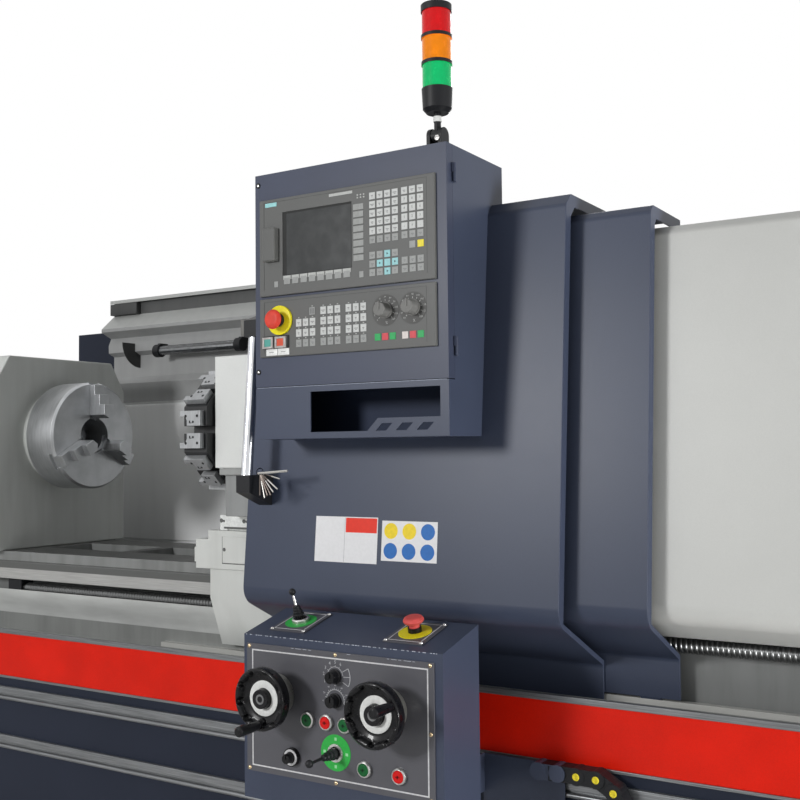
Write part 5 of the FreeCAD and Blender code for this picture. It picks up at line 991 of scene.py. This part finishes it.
# ------------ tower light
# Three coloured lenses between black rings, on a stem that folds down to the side at its foot.
# A white collar and a hexagon bolt show at the joint.
dress("tower_foot", "carriage", "black_plastic", black_moulding, edge=0.0006)
lens_red = moulded("lens_red", (208, 14, 20), 0.26, 0.16, 0.06)
lens_amber = moulded("lens_amber", (240, 134, 0), 0.26, 0.16, 0.05)
lens_green = moulded("lens_green", (0, 186, 106), 0.26, 0.16, 0.05)
TOWER_X, TOWER_Y = 568, -400
LENS_BASE, LENS_PITCH, LENS_HEIGHT, LENS_RADIUS, LENSES = 1917, 54, 47, 29.6, 3
collar = bmesh.new()
turned(collar, [(7.2, 1850.5), (8.6, 1851), (8.6, 1861.6), (7.2, 1862), (7.2, 1850.5)],
       moved(TOWER_X, TOWER_Y, 0), 32)
turned(collar, [(0, 0), (6, 0), (6, 2.6), (0, 2.6)], to_front(TOWER_X + 8.5, TOWER_Y - 16.2, 1814), 6, 1)
new_piece("tower_collar", collar, "tower", label_white, frame_chrome, edge=0.2)


def tower_part(centre, normal):
    """Black rings and cap, and a lens colour between them."""
    height = centre.z * 1000 - LENS_BASE
    radius = math.hypot(centre.x * 1000 - TOWER_X, centre.y * 1000 - TOWER_Y)
    if not 0 <= height < LENSES * LENS_PITCH or radius > LENS_RADIUS:
        return 0
    return 0 if height % LENS_PITCH > LENS_HEIGHT else 1 + int(height / LENS_PITCH)


dress("tower_light", "tower", "lens_plastic", black_moulding, lens_green, lens_amber, lens_red, edge=0.0006,
      choose=tower_part)


# ------------ cable chain
# A black plastic chain on a blue-grey plate below the band. Its links run straight, bend round
# in a half circle and run back; each joint that shows has a yellow cap.
CHAIN_BACK, CHAIN_START = -299.5, 786
dress("cable_chain", "carriage", "black_plastic", black_moulding, navy, edge=0.0006,
      choose=lambda c, n: 1 if c.y * 1000 > CHAIN_BACK or c.x * 1000 < CHAIN_START else 0)
LINK, BEND = 39, 30
CHAIN_FACE, PLATE_FACE = -331, -330.6
pins = bmesh.new()
x, z, heading = 730, 588, 0
pivots = []
for bend in [0] * 3 + [BEND] * 6 + [0] * 5:
    heading -= math.radians(bend)
    x, z = x + LINK * math.cos(heading), z + LINK * math.sin(heading)
    pivots.append((x, z))
for x, z in pivots[1:]:
    turned(pins, [(0, 0), (7, 0), (7, 0.8), (5.6, 1.8), (4.2, 1.8), (3.6, 1.2), (0, 1.2)],
           to_front(x, CHAIN_FACE, z), 24)
for x0, x1, z0, z1 in ((752, 754, 574, 601), (752, 766, 573, 575), (758, 761, 580, 590)):
    slab(pins, (x0, PLATE_FACE, z0), (x1, PLATE_FACE + 1.6, z1), 1)
chain_yellow = printed("chain_pin_yellow", (214, 196, 48), 0.06)
new_piece("chain_pins", pins, "carriage", chain_yellow, socket_dark, edge=0.2)


# ------------ floor, lights and camera
# A plain pale floor, a key light from the front left, soft top, side and rear lights, and a
# surround that is white to the camera and in reflections, and dim as a light.
FLOOR_REACH = 14
floor_shape = bmesh.new()
bmesh.ops.create_grid(floor_shape, x_segments=1, y_segments=1, size=FLOOR_REACH)
floor_mesh = bpy.data.meshes.new("floor")
floor_shape.to_mesh(floor_mesh)
floor_shape.free()
pale = grained("pale_floor", tone((228, 228, 226)), tone((236, 236, 234)), 3, 4, rough=0.7)
floor_mesh.materials.append(pale)
add_object("floor", floor_mesh)

SURROUND_SEEN, SURROUND_LIGHT = 1, 0.22
world = bpy.data.worlds.new("studio")
bpy.context.scene.world = world
world.use_nodes = True
tree = world.node_tree
surround = tree.nodes["Background"]
path = tree.nodes.new("ShaderNodeLightPath")
shown = Wire(path.outputs["Is Camera Ray"])
for ray in ("Is Glossy Ray", "Is Transmission Ray"):
    shown = shown.math("MAXIMUM", Wire(path.outputs[ray]))
surround.inputs["Color"].default_value = (1, 1, 1, 1)
strength = shown * (SURROUND_SEEN - SURROUND_LIGHT) + SURROUND_LIGHT
tree.links.new(strength.socket, surround.inputs["Strength"])

# Each light has its place and the point it aims at, in metres, its width and its power in watts.
LIGHTS = {
    "key_light": ((-1.15, -4.3, 2.2), (0.45, -0.4, 1.2), 0.9, 104),
    "top_light": ((-0.6, -1.9, 4.2), (0.2, -0.3, 1), 2.2, 9),
    "side_light": ((3.6, -0.66, 0.75), (0.65, -0.45, 0.85), 0.7, 72),
    "rear_light": ((-1.4, 5.2, 3.2), (0, 0.4, 0.8), 3, 190),
}
for name, (place, aim, width, watts) in LIGHTS.items():
    lamp = bpy.data.lights.new(name, "AREA")
    lamp.shape = "DISK"
    lamp.size = width
    lamp.energy = watts
    aimed = (Vector(aim) - Vector(place)).to_track_quat("-Z", "Y").to_matrix().to_4x4()
    add_object(name, lamp).matrix_world = moved(*place) @ aimed

# The camera stands in front of the right half and looks up a little to the left. Its heading
# is counted from the machine's depth axis; all three angles are in degrees.
CAMERA_PLACE, FOCAL_LENGTH = (1.6157, -2.2263, 1.2001), 48.33
HEADING, PITCH, ROLL = 32.028, 2.702, -0.601
view = bpy.data.cameras.new("photo_view")
view.lens = FOCAL_LENGTH
view.sensor_width = 36
view.clip_end = 60
camera = add_object("photo_view", view)
turn = rotated(HEADING, "Z") @ rotated(90 + PITCH, "X")
camera.matrix_world = moved(*CAMERA_PLACE) @ turn @ rotated(ROLL, "Z")
bpy.context.scene.camera = camera
bpy.context.scene.view_settings.view_transform = "Standard"
